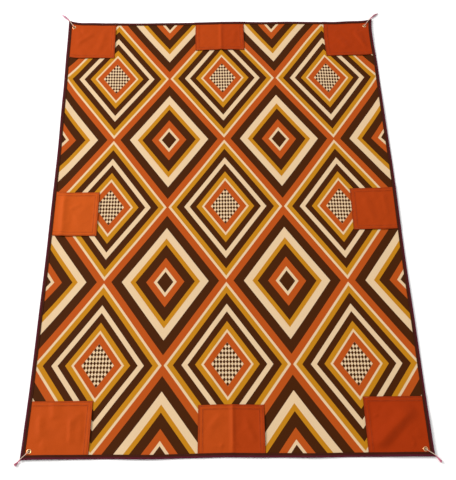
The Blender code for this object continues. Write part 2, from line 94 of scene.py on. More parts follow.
# %% Sizes of the blanket, which the solids have too
HALF_WIDTH, HALF_LENGTH = 0.70, 1.00
CLOTH, PATCH, TAPE, GAP = 0.0012, 0.0010, 0.0010, 0.0003
TAPE_WIDTH = 0.015
EDGE_P, EDGE_Q = HALF_WIDTH - TAPE - GAP, HALF_LENGTH - TAPE - GAP
TAPE_BOTTOM, TAPE_TOP = -GAP - TAPE, CLOTH + GAP + TAPE
PATCH_BOTTOM, PATCH_RISE = CLOTH + GAP, PATCH + GAP
CORD, FLOOR_CLEARANCE = 0.0025, 0.0001
EYELET_FIELD, EYELET_HOLE = 0.054, 0.0045
RIM_LIFT, CORNER_LIFT = GAP + TAPE, CORD + FLOOR_CLEARANCE + GAP + TAPE + GAP
CORNER_FLAT_SUM, CORNER_LIFT_SUM, CORNER_REACH = 0.098, 0.22, 0.072
HALF = {"left": HALF_LENGTH, "right": HALF_LENGTH, "near": HALF_WIDTH, "far": HALF_WIDTH}

Edge = namedtuple("Edge", "bow start_draw end_draw")
EDGES = {
    "left": Edge(0.0116, 0.0008, 0.0006),
    "right": Edge(0.0010, 0.0016, 0.0042),
    "near": Edge(0.0010, 0.0010, 0.0010),
    "far": Edge(0.0002, 0.0158, 0.0112),
}
NEAR_SLANT = 0.0041
Sway = namedtuple("Sway", "edge middle half_length outward")
SWAYS = (
    Sway("left", 0.28, 0.24, -0.0012),
    Sway("left", 0.76, 0.16, 0.0012),
    Sway("right", 0.90, 0.17, -0.0046),
    Sway("right", 0.16, 0.28, 0.0026),
    Sway("right", -0.30, 0.22, -0.0012),
    Sway("near", -0.27, 0.15, 0.0026),
    Sway("near", -0.01, 0.14, -0.0020),
    Sway("near", 0.29, 0.12, 0.0018),
    Sway("far", -0.31, 0.16, -0.0032),
    Sway("far", 0.06, 0.22, 0.0040),
    Sway("far", 0.52, 0.10, -0.0020),
)
Wave = namedtuple("Wave", "edge middle half_length height")
WAVE_REACH = 0.115
WAVES = (
    Wave("left", -0.46, 0.17, 0.0024),
    Wave("left", 0.44, 0.20, 0.0026),
    Wave("right", -0.40, 0.18, 0.0016),
    Wave("right", 0.42, 0.19, 0.0018),
    Wave("near", -0.29, 0.14, 0.0022),
    Wave("near", 0.30, 0.14, 0.0022),
    Wave("far", -0.29, 0.14, 0.0022),
    Wave("far", 0.30, 0.14, 0.0022),
)
Fold = namedtuple("Fold", "start end height reach")
FOLD_FADE = 0.25
FOLDS = (
    Fold((-0.048, -0.430), (-0.060, -0.860), 0.0020, 0.034),
    Fold((0.015, -0.780), (0.015, -1.020), 0.0030, 0.0150),
    Fold((0.000, 0.790), (0.000, 1.020), 0.0022, 0.0150),
    Fold((0.655, -0.826), (0.490, -0.979), 0.0036, 0.040),
    Fold((-0.655, 0.110), (-0.655, -0.170), 0.0024, 0.026),
)
print("cut size", 2 * HALF_WIDTH, "by", 2 * HALF_LENGTH)


# %% Where a place of the cut blanket comes to rest
def ease(share):
    share = np.clip(share, 0.0, 1.0)
    return share * share * (3 - 2 * share)


def inset(side, along, half):
    """How far an edge stands in from the line between its tips: its bow and its slow bends."""
    edge, share = EDGES[side], along / half
    bends = [sway for sway in SWAYS if sway.edge == side]
    swayed = sum(bend.outward * ease(1 - np.abs(along - bend.middle) / bend.half_length) for bend in bends)
    to_tip = np.maximum(0.0, 1 - (half - np.abs(along)) / CORNER_REACH)
    draw = edge.start_draw + (edge.end_draw - edge.start_draw) * (share + 1) / 2
    return edge.bow * (1 - share**2) + draw * (1 - to_tip**2) - swayed


def rim_distances(p, q):
    return {"left": HALF_WIDTH + p, "right": HALF_WIDTH - p, "near": HALF_LENGTH + q, "far": HALF_LENGTH - q}


def to_rim(p, q):
    return np.minimum(HALF_WIDTH - np.abs(p), HALF_LENGTH - np.abs(q))


def corner_sum(p, q):
    return (HALF_WIDTH - np.abs(p)) + (HALF_LENGTH - np.abs(q))


def fold_height(fold, p, q):
    run_p, run_q = fold.end[0] - fold.start[0], fold.end[1] - fold.start[1]
    length = hypot(run_p, run_q)
    away_p, away_q = p - fold.start[0], q - fold.start[1]
    share = (away_p * run_p + away_q * run_q) / length**2
    away = np.abs(away_p * run_q - away_q * run_p) / length
    return fold.height * ease(1 - away / fold.reach) * ease(share / FOLD_FADE) * ease((1 - share) / FOLD_FADE)


RUMPLES = ((5.2, 2.1, 0.4), (-3.7, 4.6, 2.0), (1.3, -6.4, 4.1), (8.8, 3.3, 5.2))
RUMPLE_LENGTH, RUMPLE_HEIGHT, RUMPLE_FROM, RUMPLE_OVER = 1.7, 0.00016, 0.12, 0.15


def rumple(p, q):
    """Slow, low unevenness of cloth on a floor. The corners have none, because the cords hold them."""
    height = 0.0
    for across, along, shift in RUMPLES:
        height = height + 1 + np.sin(2 * pi * (across * p + along * q) / RUMPLE_LENGTH + shift)
    return RUMPLE_HEIGHT * height * ease((corner_sum(p, q) - RUMPLE_FROM) / RUMPLE_OVER)


def lift(p, q):
    from_edge = rim_distances(p, q)
    nearest = np.minimum.reduce(list(from_edge.values()))
    rim = RIM_LIFT * (1 - ease((nearest - TAPE_WIDTH) / (EYELET_FIELD - TAPE_WIDTH)))
    corner_share = (corner_sum(p, q) - CORNER_FLAT_SUM) / (CORNER_LIFT_SUM - CORNER_FLAT_SUM)
    height = np.maximum(rim, CORNER_LIFT * (1 - ease(corner_share)))
    for wave in WAVES:
        along = q if wave.edge in ("left", "right") else p
        crest = ease(1 - np.abs(along - wave.middle) / wave.half_length)
        height = height + wave.height * crest * ease(1 - from_edge[wave.edge] / WAVE_REACH)
    for fold in FOLDS:
        height = height + fold_height(fold, p, q)
    return height + rumple(p, q)


def lie(p, q, height):
    """Where places p, q lie, at a height above the cloth's underside: a row of x, y, z for each."""
    p, q, height = np.broadcast_arrays(np.asarray(p, float), np.asarray(q, float), np.asarray(height, float))
    right_share = (p + HALF_WIDTH) / (2 * HALF_WIDTH)
    far_share = (q + HALF_LENGTH) / (2 * HALF_LENGTH)
    left, right = inset("left", q, HALF_LENGTH), inset("right", q, HALF_LENGTH)
    near, far = inset("near", p, HALF_WIDTH), inset("far", p, HALF_WIDTH)
    x = p + left * (1 - right_share) - right * right_share
    y = q + (near - NEAR_SLANT * p / HALF_WIDTH) * (1 - far_share) - far * far_share
    return np.stack([x, y, lift(p, q) + height], axis=-1)


print("middle of the left edge lies at", lie(-HALF_WIDTH, 0.0, 0.0).round(4))


# %% [markdown]
# ## Helpers for meshes
# A cord, its brush and a folded tape are all rows of rings with a skin over them, as a canoe's skin lies over
# its ribs. A UV map on each piece holds real distances in metres, so that threads have one size everywhere.

# %% Points, places and marks of a mesh
def points_of(piece):
    """Every point of a piece, as rows of x, y, z."""
    points = np.empty(len(piece.data.vertices) * 3)
    piece.data.vertices.foreach_get("co", points)
    return points.reshape(-1, 3)


def move_points(piece, points):
    piece.data.vertices.foreach_set("co", points.ravel())
    piece.data.update()


def face_corners(mesh):
    """The number of the point at each corner of each face."""
    numbers = np.empty(len(mesh.loops), dtype=np.int32)
    mesh.loops.foreach_get("vertex_index", numbers)
    return numbers


def map_cut(mesh, places):
    """A UV map with a place for each corner of each face."""
    mesh.uv_layers.new(name="cut").data.foreach_set("uv", places.ravel())


def mark(piece, name, values):
    """Gives each point of a piece a number, which its finish reads."""
    piece.data.attributes.new(name, "FLOAT", "POINT").data.foreach_set("value", values)


def linked(name, mesh):
    piece = bpy.data.objects.new(name, mesh)
    bpy.context.collection.objects.link(piece)
    return piece


def pick(*pieces):
    """Selects these pieces and nothing else. The first becomes the active one."""
    bpy.ops.object.select_all(action="DESELECT")
    for piece in pieces:
        piece.select_set(True)
    if pieces:
        bpy.context.view_layer.objects.active = pieces[0]


# %% A skin over a row of rings
def finish_piece(piece, material=None, sharp_from=50):
    """Turns the faces out, smooths them, and gives the piece its finish and its place in the frame."""
    pick(piece)
    bpy.ops.object.mode_set(mode="EDIT")
    bpy.ops.mesh.select_all(action="SELECT")
    bpy.ops.mesh.normals_make_consistent(inside=False)
    bpy.ops.object.mode_set(mode="OBJECT")
    bpy.ops.object.shade_smooth_by_angle(angle=radians(sharp_from))
    if material and not piece.data.materials:
        piece.data.materials.append(material)
    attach(piece, "root")
    return piece


def skin(name, rings, places):
    """A closed skin over rings of points. places gives a UV for each point, and for the first one again."""
    count, around = rings.shape[:2]
    ring, spot = np.meshgrid(np.arange(count - 1), np.arange(around), indexing="ij")
    after = (spot + 1) % around
    quads = np.stack([ring * around + spot, ring * around + after, (ring + 1) * around + after,
                      (ring + 1) * around + spot], axis=-1).reshape(-1, 4)
    ends = [list(range(around))[::-1], list(range((count - 1) * around, count * around))]
    mesh = bpy.data.meshes.new(name)
    mesh.from_pydata(rings.reshape(-1, 3).tolist(), [], quads.tolist() + ends)
    sides = np.stack([places[ring, spot], places[ring, spot + 1], places[ring + 1, spot + 1],
                      places[ring + 1, spot]], axis=2).reshape(-1, 2)
    caps = np.concatenate([places[0, :around][::-1], places[-1, :around]])
    map_cut(mesh, np.concatenate([sides, caps]))
    return linked(name, mesh)


# %% [markdown]
# ## Helpers for materials
# A finish is a small tree of nodes. These helpers add nodes and feed them, so that the trees below read like
# recipes.

# %% Nodes, sums and groups
def add(tree, kind, feeds=(), **settings):
    """A new node with its settings, fed with numbers, colours or the outputs of other nodes."""
    made = tree.nodes.new(kind)
    for name, value in settings.items():
        setattr(made, name, value)
    for name, value in dict(feeds).items():
        if isinstance(value, bpy.types.NodeSocket):
            tree.links.new(value, made.inputs[name])
        else:
            made.inputs[name].default_value = value
    return made


def sums(tree, operation, *values):
    return add(tree, "ShaderNodeMath", dict(enumerate(values)), operation=operation).outputs[0]


def blended(tree, share, first, second, kind="MIX"):
    """Two colours mixed. share may be a number or an output."""
    feeds = {0: share, 6: first, 7: second}
    return add(tree, "ShaderNodeMix", feeds, data_type="RGBA", blend_type=kind).outputs[2]


def group(name, inputs, outputs):
    """An empty node group with named sockets, and its two end nodes."""
    made = bpy.data.node_groups.new(name, "ShaderNodeTree")
    for socket, kind, value in inputs:
        opened = made.interface.new_socket(name=socket, in_out="INPUT", socket_type=f"NodeSocket{kind}")
        if value is not None:
            opened.default_value = value
    for socket, kind in outputs:
        made.interface.new_socket(name=socket, in_out="OUTPUT", socket_type=f"NodeSocket{kind}")
    return made, made.nodes.new("NodeGroupInput").outputs, made.nodes.new("NodeGroupOutput").inputs


def placed(tree, shared, feeds):
    """A shared group, placed in a finish's tree with that finish's own values."""
    return add(tree, "ShaderNodeGroup", feeds, node_tree=shared).outputs


def finish(name, roughness, specular, metallic=0.0):
    """A new material, its tree and its shader."""
    made = bpy.data.materials.new(name)
    made.use_nodes = True
    shader = made.node_tree.nodes["Principled BSDF"]
    shader.inputs["Roughness"].default_value = roughness
    shader.inputs["Specular IOR Level"].default_value = specular
    shader.inputs["Metallic"].default_value = metallic
    return made, made.node_tree, shader


def bumped(tree, shader, height, distance):
    bump = add(tree, "ShaderNodeBump", {"Height": height, "Distance": distance, "Strength": 1.0})
    tree.links.new(bump.outputs["Normal"], shader.inputs["Normal"])


def marked(tree, name):
    """The number that a mark gives each point."""
    return add(tree, "ShaderNodeAttribute", attribute_name=name).outputs["Fac"]


# %% [markdown]
# ## Effects that several finishes share
# A woven cloth is threads over and under threads, and that is a small chequer of bumps. Handling leaves
# slow, faint changes in colour and gloss.

# %% The weave
weave, given, out = group(
    "weave",
    [("Place", "Vector", None), ("Thread", "Float", 0.0006), ("Unevenness", "Float", 0.3)],
    [("Height", "Float"), ("Shade", "Float")],
)
split = add(weave, "ShaderNodeSeparateXYZ", {0: given["Place"]}).outputs
across = sums(weave, "DIVIDE", split[0], given["Thread"])
along = sums(weave, "DIVIDE", split[1], given["Thread"])
warp = sums(weave, "SINE", sums(weave, "MULTIPLY", across, pi))
weft = sums(weave, "SINE", sums(weave, "MULTIPLY", along, pi))
over = sums(weave, "MULTIPLY", warp, weft)
slub = add(
    weave, "ShaderNodeTexNoise", {"Vector": given["Place"], "Scale": 320.0, "Detail": 2.0}
).outputs["Fac"]
uneven = sums(weave, "MULTIPLY", sums(weave, "SUBTRACT", slub, 0.5), given["Unevenness"])
weave.links.new(sums(weave, "ADD", over, uneven), out["Height"])
weave.links.new(sums(weave, "MULTIPLY_ADD", uneven, 0.35, 1.0), out["Shade"])

# %% The handling
handling, given, out = group(
    "handling",
    [("Place", "Vector", None), ("Scale", "Float", 6.0), ("Amount", "Float", 0.08)],
    [("Shade", "Float"), ("Mask", "Float")],
)
clouds = add(
    handling, "ShaderNodeTexNoise", {"Vector": given["Place"], "Scale": given["Scale"], "Detail": 4.0}
).outputs["Fac"]
centred = sums(handling, "SUBTRACT", clouds, 0.5)
shade = sums(handling, "ADD", sums(handling, "MULTIPLY", centred, given["Amount"]), 1.0)
handling.links.new(shade, out["Shade"])
handling.links.new(clouds, out["Mask"])
print("shared effects:", [shared.name for shared in (weave, handling)])

# %% [markdown]
# ## The print
# A plain repeat of nested diamonds in cream, mustard, orange and dark brown, three across and three along.
# A small check fills the middle of each. The print is a sum of two zigzag distances, cut into bands by a
# colour ramp, so it stays sharp at any size.

# %% Print colours and bands
CREAM = (0.625, 0.448, 0.266, 1.0)
MUSTARD = (0.434, 0.177, 0.0060, 1.0)
ORANGE = (0.392, 0.0650, 0.0065, 1.0)
BROWN = (0.050, 0.0120, 0.0012, 1.0)
DIAMOND = (2 * HALF_WIDTH / 3, 2 * HALF_LENGTH / 3)
BANDS = (
    (ORANGE, 22), (CREAM, 7), (MUSTARD, 18), (BROWN, 22), (CREAM, 18), (BROWN, 26), (MUSTARD, 18),
    (CREAM, 9), (ORANGE, 24), (BROWN, 34), (CREAM, 26), (MUSTARD, 17), (BROWN, 33), (ORANGE, 24),
    (CREAM, 10), (BROWN, 26),
)
CHECK_MIDDLE, ALL_BANDS, CHECK_STEP = 48, 382, 0.050

diamonds, given, out = group("diamond_print", [("Place", "Vector", None)], [("Color", "Color")])
split = add(diamonds, "ShaderNodeSeparateXYZ", {0: given["Place"]}).outputs
sides = []
for axis in (0, 1):
    repeat = sums(diamonds, "DIVIDE", split[axis], DIAMOND[axis])
    sides.append(sums(diamonds, "MULTIPLY", sums(diamonds, "PINGPONG", repeat, 0.5), 2.0))
outwards = sums(diamonds, "ADD", *sides)
sideways = sums(diamonds, "SUBTRACT", *sides)
bands = add(diamonds, "ShaderNodeValToRGB", {0: sums(diamonds, "MULTIPLY", outwards, 0.5)})
bands.color_ramp.interpolation = "CONSTANT"
start = CHECK_MIDDLE
for number, (colour, width) in enumerate(BANDS):
    stop = bands.color_ramp.elements[0] if number == 0 else bands.color_ramp.elements.new(start / ALL_BANDS)
    stop.position = start / ALL_BANDS
    stop.color = colour
    start += width
in_steps = [sums(diamonds, "DIVIDE", value, CHECK_STEP) for value in (outwards, sideways)]
steps = [sums(diamonds, "FLOOR", value) for value in in_steps]
odd = sums(diamonds, "PINGPONG", sums(diamonds, "ADD", *steps), 1.0)
check = blended(diamonds, odd, CREAM, BROWN)
in_middle = sums(diamonds, "LESS_THAN", outwards, 2 * CHECK_MIDDLE / ALL_BANDS)
diamonds.links.new(blended(diamonds, in_middle, bands.outputs["Color"], check), out["Color"])
print("bands fill", start, "of", ALL_BANDS, "mm")


# %% [markdown]
# ## Finishes
# Cloth gives little gloss, so its specular level is low. The printed face and the plain back of the cloth
# are two finishes, because the dye hardly reaches the back.

# %% Cloth finishes
def cut_place(tree):
    return add(tree, "ShaderNodeUVMap", uv_map="cut").outputs["UV"]


def woven_finish(name, colour_from, thread, roughness, specular, depth, amount, scale=6.0):
    made, tree, shader = finish(name, roughness, specular)
    place = cut_place(tree)
    threads = placed(tree, weave, {"Place": place, "Thread": thread, "Unevenness": 0.5})
    handled = placed(tree, handling, {"Place": place, "Scale": scale, "Amount": amount})
    shade = sums(tree, "MULTIPLY", threads["Shade"], handled["Shade"])
    colour = colour_from(tree, place)
    tree.links.new(blended(tree, 1.0, colour, shade, "MULTIPLY"), shader.inputs["Base Color"])
    rough = sums(tree, "MULTIPLY_ADD", handled["Mask"], 0.12, roughness - 0.06)
    tree.links.new(rough, shader.inputs["Roughness"])
    bumped(tree, shader, threads["Height"], depth)
    return made


def print_face(tree, place):
    return placed(tree, diamonds, {"Place": place})["Color"]


def print_back(tree, place):
    return blended(tree, 0.16, (0.60, 0.47, 0.33, 1.0), placed(tree, diamonds, {"Place": place})["Color"])


def pocket_colour_with_painted_light(tree, place):
    # The two oranges are mixed by each pocket's mark of painted light: the pockets on the left, nearer the
    # lamp, are lighter and those on the right darker.
    base_colour = blended(tree, marked(tree, "dye_lot"), (0.298, 0.0235, 0.0016, 1.0), (0.450, 0.0710, 0.0070, 1.0))
    # The dark colour is painted shade, laid along the rows of stitches and the folded edges by the seam mark.
    return blended(tree, marked(tree, "seam"), base_colour, (0.090, 0.0090, 0.0020, 1.0))


printed_face = woven_finish("printed_face", print_face, 0.0008, 0.58, 0.04, 0.00006, 0.09)
printed_back = woven_finish("printed_back", print_back, 0.0008, 0.75, 0.06, 0.00008, 0.08)
pocket_cloth = woven_finish("pocket_orange", pocket_colour_with_painted_light, 0.0010, 0.58, 0.035, 0.00008, 0.10, scale=14.0)
print("cloth finishes made")

# %% Tape, thread, cord and brass finishes
tape_brown, tree, shader = finish("tape_brown", 0.70, 0.04)
place = cut_place(tree)
split = add(tree, "ShaderNodeSeparateXYZ", {0: place}).outputs
inwards = add(tree, "ShaderNodeMapRange", {0: split[1], 1: 0.0032, 2: 0.0085})
worn = placed(tree, handling, {"Place": place, "Scale": 22.0, "Amount": 0.5})
base_colour = blended(tree, inwards.outputs[0], (0.080, 0.0088, 0.0200, 1.0), (0.042, 0.0085, 0.0030, 1.0))
tree.links.new(blended(tree, 1.0, base_colour, worn["Shade"], "MULTIPLY"), shader.inputs["Base Color"])
ribs = sums(tree, "SINE", sums(tree, "MULTIPLY", split[0], 2 * pi / 0.0013))
bumped(tree, shader, sums(tree, "MULTIPLY_ADD", worn["Mask"], 0.5, ribs), 0.00010)


def thread_finish(name, colour):
    made, tree, shader = finish(name, 0.55, 0.25)
    feeds = {"Vector": cut_place(tree), "Scale": 250.0, "Distortion": 1.0}
    turns = add(tree, "ShaderNodeTexWave", feeds).outputs["Fac"]
    darker = [0.8 * part for part in colour]
    tree.links.new(blended(tree, turns, (*darker, 1.0), (*colour, 1.0)), shader.inputs["Base Color"])
    bumped(tree, shader, turns, 0.00008)
    return made


pocket_thread = thread_finish("pocket_thread", (0.430, 0.0800, 0.0200))
tape_thread = thread_finish("tape_thread", (0.070, 0.0170, 0.0190))


RAMP_SCALE, RAMP_START = 8.0, 0.4


def cord_finish(name, stops):
    """Cord that changes colour with the distance beyond the corner's tip, in metres."""
    made, tree, shader = finish(name, 0.70, 0.20)
    ramp = add(tree, "ShaderNodeValToRGB", {
        0: sums(tree, "MULTIPLY_ADD", marked(tree, "beyond_tip"), RAMP_SCALE, RAMP_START)})
    elements = ramp.color_ramp.elements
    for number, (distance, colour) in enumerate(stops):
        position = RAMP_START + RAMP_SCALE * distance
        stop = elements[0] if number == 0 else elements.new(position)
        stop.position, stop.color = position, (*colour, 1.0)
    plies = placed(tree, handling, {"Place": cut_place(tree), "Scale": 900.0, "Amount": 0.35})
    coloured = blended(tree, 1.0, ramp.outputs["Color"], plies["Shade"], "MULTIPLY")
    tree.links.new(coloured, shader.inputs["Base Color"])
    bumped(tree, shader, plies["Mask"], 0.00012)
    return made


CREAM_CORD, DUSTY_PINK, MAUVE = (0.66, 0.47, 0.36), (0.56, 0.165, 0.235), (0.44, 0.135, 0.190)
PALE_PINK, WARM_PINK, ROSE = (0.57, 0.290, 0.380), (0.49, 0.210, 0.260), (0.55, 0.135, 0.225)
END_COLOURS = {
    "near_left": ((0.015, MAUVE), (0.022, DUSTY_PINK)),
    "near_right": ((0.014, ROSE), (0.030, ROSE)),
    "far_left": ((0.013, PALE_PINK), (0.060, PALE_PINK)),
    "far_right": ((0.013, WARM_PINK), (0.060, WARM_PINK)),
}
tie_cord = cord_finish("tie_cord_cotton", ((-0.006, CREAM_CORD), (0.001, DUSTY_PINK), (0.020, DUSTY_PINK)))
end_finishes = {corner: cord_finish(f"{corner}_end_cotton", ((0.008, DUSTY_PINK), *stops))
                for corner, stops in END_COLOURS.items()}

brass, tree, shader = finish("worn_brass", 0.30, 0.5, metallic=1.0)
spot = add(tree, "ShaderNodeTexCoord").outputs["Object"]
tarnish = placed(tree, handling, {"Place": spot, "Scale": 420.0, "Amount": 0.30})
bright = blended(tree, tarnish["Mask"], (0.88, 0.53, 0.27, 1.0), (0.72, 0.40, 0.18, 1.0))
# Painted shade: inside the funnel of each eyelet the brass is mixed to a dark brown, where shade and dark
# reflections fall.
funnel_shaded = blended(tree, marked(tree, "in_funnel"), bright, (0.32, 0.150, 0.055, 1.0))
tree.links.new(funnel_shaded, shader.inputs["Base Color"])
tree.links.new(sums(tree, "MULTIPLY_ADD", tarnish["Mask"], 0.25, 0.18), shader.inputs["Roughness"])
bumped(tree, shader, tarnish["Mask"], 0.00004)
print(len(bpy.data.materials), "materials")

# %% [markdown]
# ## The cord ties
# Each tie is one thin cord of three plies, led under the corner, up through the eyelet and back over the
# corner. There its two strands are bound with thread, and its loose threads spread into a soft brush. Its way
# is drawn as distances out from the eyelet and heights above the floor, and it leans aside half way.

# %% The ties' facts
Tie = namedtuple("Tie", "side end heading swing")
TIES = {
    "near_left": Tie(-1, -1, radians(45.6), -0.0008),
    "near_right": Tie(1, -1, radians(42.0), 0.0040),
    "far_left": Tie(-1, 1, radians(51.8), -0.0046),
    "far_right": Tie(1, 1, radians(48.8), 0.0062),
}
Knot = namedtuple("Knot", "length girth widest end_girth")
KNOTS = {
    "near_left": Knot(0.017, 0.0050, 0.80, 0.0046),
    "near_right": Knot(0.019, 0.0047, 0.85, 0.0042),
    "far_left": Knot(0.047, 0.0060, 0.45, 0.0018),
    "far_right": Knot(0.045, 0.0052, 0.42, 0.0024),
}
KNOT_BEYOND_TIP, LEVEL_END, SWING_FROM = 0.0075, 0.0018, 0.010
UNDER_CORNER, OVER_CORNER = (0.95, 0.80, 0.62, 0.42, 0.24), (0.50, 0.68, 0.84, 1.0)
TURN_ANGLES, TURN, TURN_CENTRE = (-90, -135, -180, -225, -270), 0.0052, 0.0046
ON_FLOOR = CORD / 2 + FLOOR_CLEARANCE
OVER_RIM = CORNER_LIFT + TAPE_TOP + PATCH_RISE + GAP + CORD / 2
STRAND_PITCH, KNOT_RADIUS, KNOT_HEIGHT = CORD + GAP, 0.0026, 0.0046
CORD_STEP = 0.0006


# %% The way of a tie
def eyelet_centre(name):
    """The middle of an eyelet, from the box of its solid."""
    low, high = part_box(f"eyelet_{name}")
    return (Vector(low) + Vector(high)) / 2


def tip_distance(name):
    tie, centre = TIES[name], eyelet_centre(name)
    tip = lie(tie.side * HALF_WIDTH, tie.end * HALF_LENGTH, 0.0)
    return hypot(tip[0] - centre.x, tip[1] - centre.y)


def headings(name):
    """The ways ahead and across of a tie, on the floor."""
    tie = TIES[name]
    ahead = np.array([tie.side * cos(tie.heading), tie.end * sin(tie.heading)])
    return ahead, np.array([-ahead[1], ahead[0]])


def tie_points(name, out, height):
    """Points of a tie: how far out from the eyelet, and how high. It swings aside of its heading half way."""
    ahead, across = headings(name)
    whole = tip_distance(name) + KNOT_BEYOND_TIP + KNOTS[name].length
    share = np.maximum(out - SWING_FROM, 0.0) / (whole - SWING_FROM)
    flat = np.array(eyelet_centre(name).xy) + np.outer(out, ahead)
    flat = flat + np.outer(TIES[name].swing * np.sin(pi * share), across)
    return np.column_stack([flat, height])


def smoothed(points, between=12):
    """A smooth curve through the points."""
    padded = np.vstack([2 * points[0] - points[1], points, 2 * points[-1] - points[-2]])
    before, start, end, after = padded[:-3], padded[1:-2], padded[2:-1], padded[3:]
    curve = []
    for share in np.arange(between) / between:
        squared, cubed = 2 * before - 5 * start + 4 * end - after, 3 * start - before - 3 * end + after
        curve.append(0.5 * (2 * start + (end - before) * share + squared * share**2 + cubed * share**3))
    return np.vstack([np.stack(curve, axis=1).reshape(-1, 3), points[-1]])


def evenly(points, step):
    """The same way with its points at even steps."""
    travelled = np.concatenate([[0.0], np.cumsum(np.linalg.norm(np.diff(points, axis=0), axis=1))])
    marks = np.linspace(0.0, travelled[-1], max(int(travelled[-1] / step), 8))
    return np.column_stack([np.interp(marks, travelled, points[:, axis]) for axis in range(3)]), marks


def loop_way(name):
    tip = tip_distance(name)
    lower_end, upper_end = KNOT_HEIGHT - STRAND_PITCH / 2, KNOT_HEIGHT + STRAND_PITCH / 2
    loop_end = tip + KNOT_BEYOND_TIP - GAP
    turn_height = ON_FLOOR + TURN
    way = [(loop_end, lower_end), (loop_end - LEVEL_END, lower_end)]
    way += [(tip + 0.0030, ON_FLOOR + 0.0009), (tip + 0.0004, ON_FLOOR)]
    way += [(share * tip, ON_FLOOR) for share in UNDER_CORNER]
    for angle in TURN_ANGLES:
        way.append((TURN_CENTRE + TURN * cos(radians(angle)), turn_height + TURN * sin(radians(angle))))
    way += [(0.0095, turn_height + 0.96 * TURN), (0.016, OVER_RIM + 0.0006)]
    way += [(share * tip, OVER_RIM) for share in OVER_CORNER]
    way += [(tip + 0.0018, OVER_RIM - 0.0004), (tip + 0.0038, (OVER_RIM + upper_end) / 2)]
    way += [(loop_end - LEVEL_END, upper_end), (loop_end, upper_end)]
    out, height = np.array(way).T
    return smoothed(tie_points(name, out, height))


def knot_radius(knot, share):
    rising = KNOT_RADIUS + (knot.girth - KNOT_RADIUS) * ease(share / knot.widest)
    falling = knot.girth + (knot.end_girth - knot.girth) * ease((share - knot.widest) / (1 - knot.widest))
    return np.where(share < knot.widest, rising, falling)


def knot_way(corner, share):
    """Points along the middle of a bound and frayed end, at shares of its length, and its radius there."""
    knot = KNOTS[corner]
    radius = knot_radius(knot, share)
    resting = radius + FLOOR_CLEARANCE
    height = np.maximum(resting, KNOT_HEIGHT + (resting - KNOT_HEIGHT) * share)
    out = tip_distance(corner) + KNOT_BEYOND_TIP + share * knot.length
    return tie_points(corner, out, height), radius


print("tips stand", [round(1000 * tip_distance(name), 1) for name in TIES], "mm from their eyelets")

# %% Three plies turned round a way
PLIES, PLY_POINTS, PLY_TURN = 3, 6, 0.0085
PLY_OFF, PLY_RADIUS, FULLNESS, BLUNT_END = 0.35, 0.65, 1.04, 0.78


def rings_along(middle, angle, reach):
    """Rings round a way. Each row of angles and reaches places one ring's points round the way's middle."""
    ahead = np.gradient(middle, axis=0)
    ahead /= np.linalg.norm(ahead, axis=1)[:, None]
    side = np.zeros_like(ahead)
    aim = np.cross(ahead[0], [0.0, 0.0, 1.0])
    for number, forward in enumerate(ahead):
        aim = aim - forward * aim.dot(forward)
        aim = aim / np.linalg.norm(aim)
        side[number] = aim
    up = np.cross(side, ahead)
    return middle[:, None, :] + (reach * np.cos(angle))[..., None] * side[:, None, :] + (
        (reach * np.sin(angle))[..., None] * up[:, None, :])


def ring_places(marks, around, girth):
    """The UV of each ring's points, in metres along and around."""
    return np.stack(np.meshgrid(marks, np.arange(around + 1) * girth / around, indexing="ij"), axis=-1)


def ply_outline(turned_by):
    """The outline of three plies side by side, as distances from the middle at even angles.

    PLY_OFF and PLY_RADIUS are shares of the cord's radius: a ply's distance off its middle, and its radius.
    """
    angle = np.arange(PLIES * PLY_POINTS) * 2 * pi / (PLIES * PLY_POINTS)
    off_ply = (angle + pi / PLIES) % (2 * pi / PLIES) - pi / PLIES
    radius = PLY_OFF * np.cos(off_ply) + np.sqrt(PLY_RADIUS**2 - (PLY_OFF * np.sin(off_ply)) ** 2)
    turned_angle = angle[None, :] + turned_by[:, None]
    return turned_angle, CORD / 2 * FULLNESS * radius[None, :]


def twisted_cord(name, way):
    """A cord of three plies along a way."""
    middle, marks = evenly(way, CORD_STEP)
    angle, radius = ply_outline(2 * pi * marks / PLY_TURN)
    blunt = np.ones(len(middle))
    blunt[[0, -1]] = BLUNT_END
    rings = rings_along(middle, angle, radius * blunt[:, None])
    return skin(name, rings, ring_places(marks, PLIES * PLY_POINTS, pi * CORD)), middle, marks[-1]


def finish_cord(cord, corner, material):
    """Gives a cord its finish, and each of its points how far it lies beyond the corner's tip."""
    out = (points_of(cord)[:, :2] - np.array(eyelet_centre(corner).xy)) @ headings(corner)[0]
    mark(cord, "beyond_tip", out - tip_distance(corner))
    return finish_piece(cord, material, sharp_from=60)


# %% The binding thread and the brush of loose threads
BOUND_LENGTH, BOUND_PITCH, BOUND_DEPTH, BOUND_POINTS = 0.0052, 0.00105, 0.00035, 20
LOOSE_THREADS, LOOSE_RADIUS, LOOSE_POINTS, LOOSE_STATIONS = 40, 0.00043, 5, 15
SPREAD_TURN = pi * (3 - 5**0.5)
BOUND_FULLNESS, BOUND_ROUND, HIDDEN_SHARE = 0.0002, 0.0005, 0.6
LOOSE_FILL, LOOSE_UNEVEN, LOOSE_BEND, LOOSE_THINNING = 0.90, 0.13, 0.0005, 0.45
uneven_ends = np.random.default_rng(7)


def bound_part(corner):
    """Thread wound tight round the strands: a short sleeve with one slanting ridge for each turn."""
    marks = np.linspace(0.0, BOUND_LENGTH, 32)
    middle, _ = knot_way(corner, marks / KNOTS[corner].length)
    angle = np.arange(BOUND_POINTS) * 2 * pi / BOUND_POINTS + 0 * marks[:, None]
    ridge = np.abs(np.sin(pi * (marks[:, None] / BOUND_PITCH + angle / (2 * pi))))
    closed = np.sqrt(np.clip(np.minimum(marks, BOUND_LENGTH - marks) / BOUND_ROUND, 0.12, 1.0))
    reach = (KNOT_RADIUS + BOUND_FULLNESS - BOUND_DEPTH * (1 - ridge)) * closed[:, None]
    rings = rings_along(middle, angle, reach)
    return skin(f"bound_{corner}", rings, ring_places(marks, BOUND_POINTS, 2 * pi * KNOT_RADIUS))


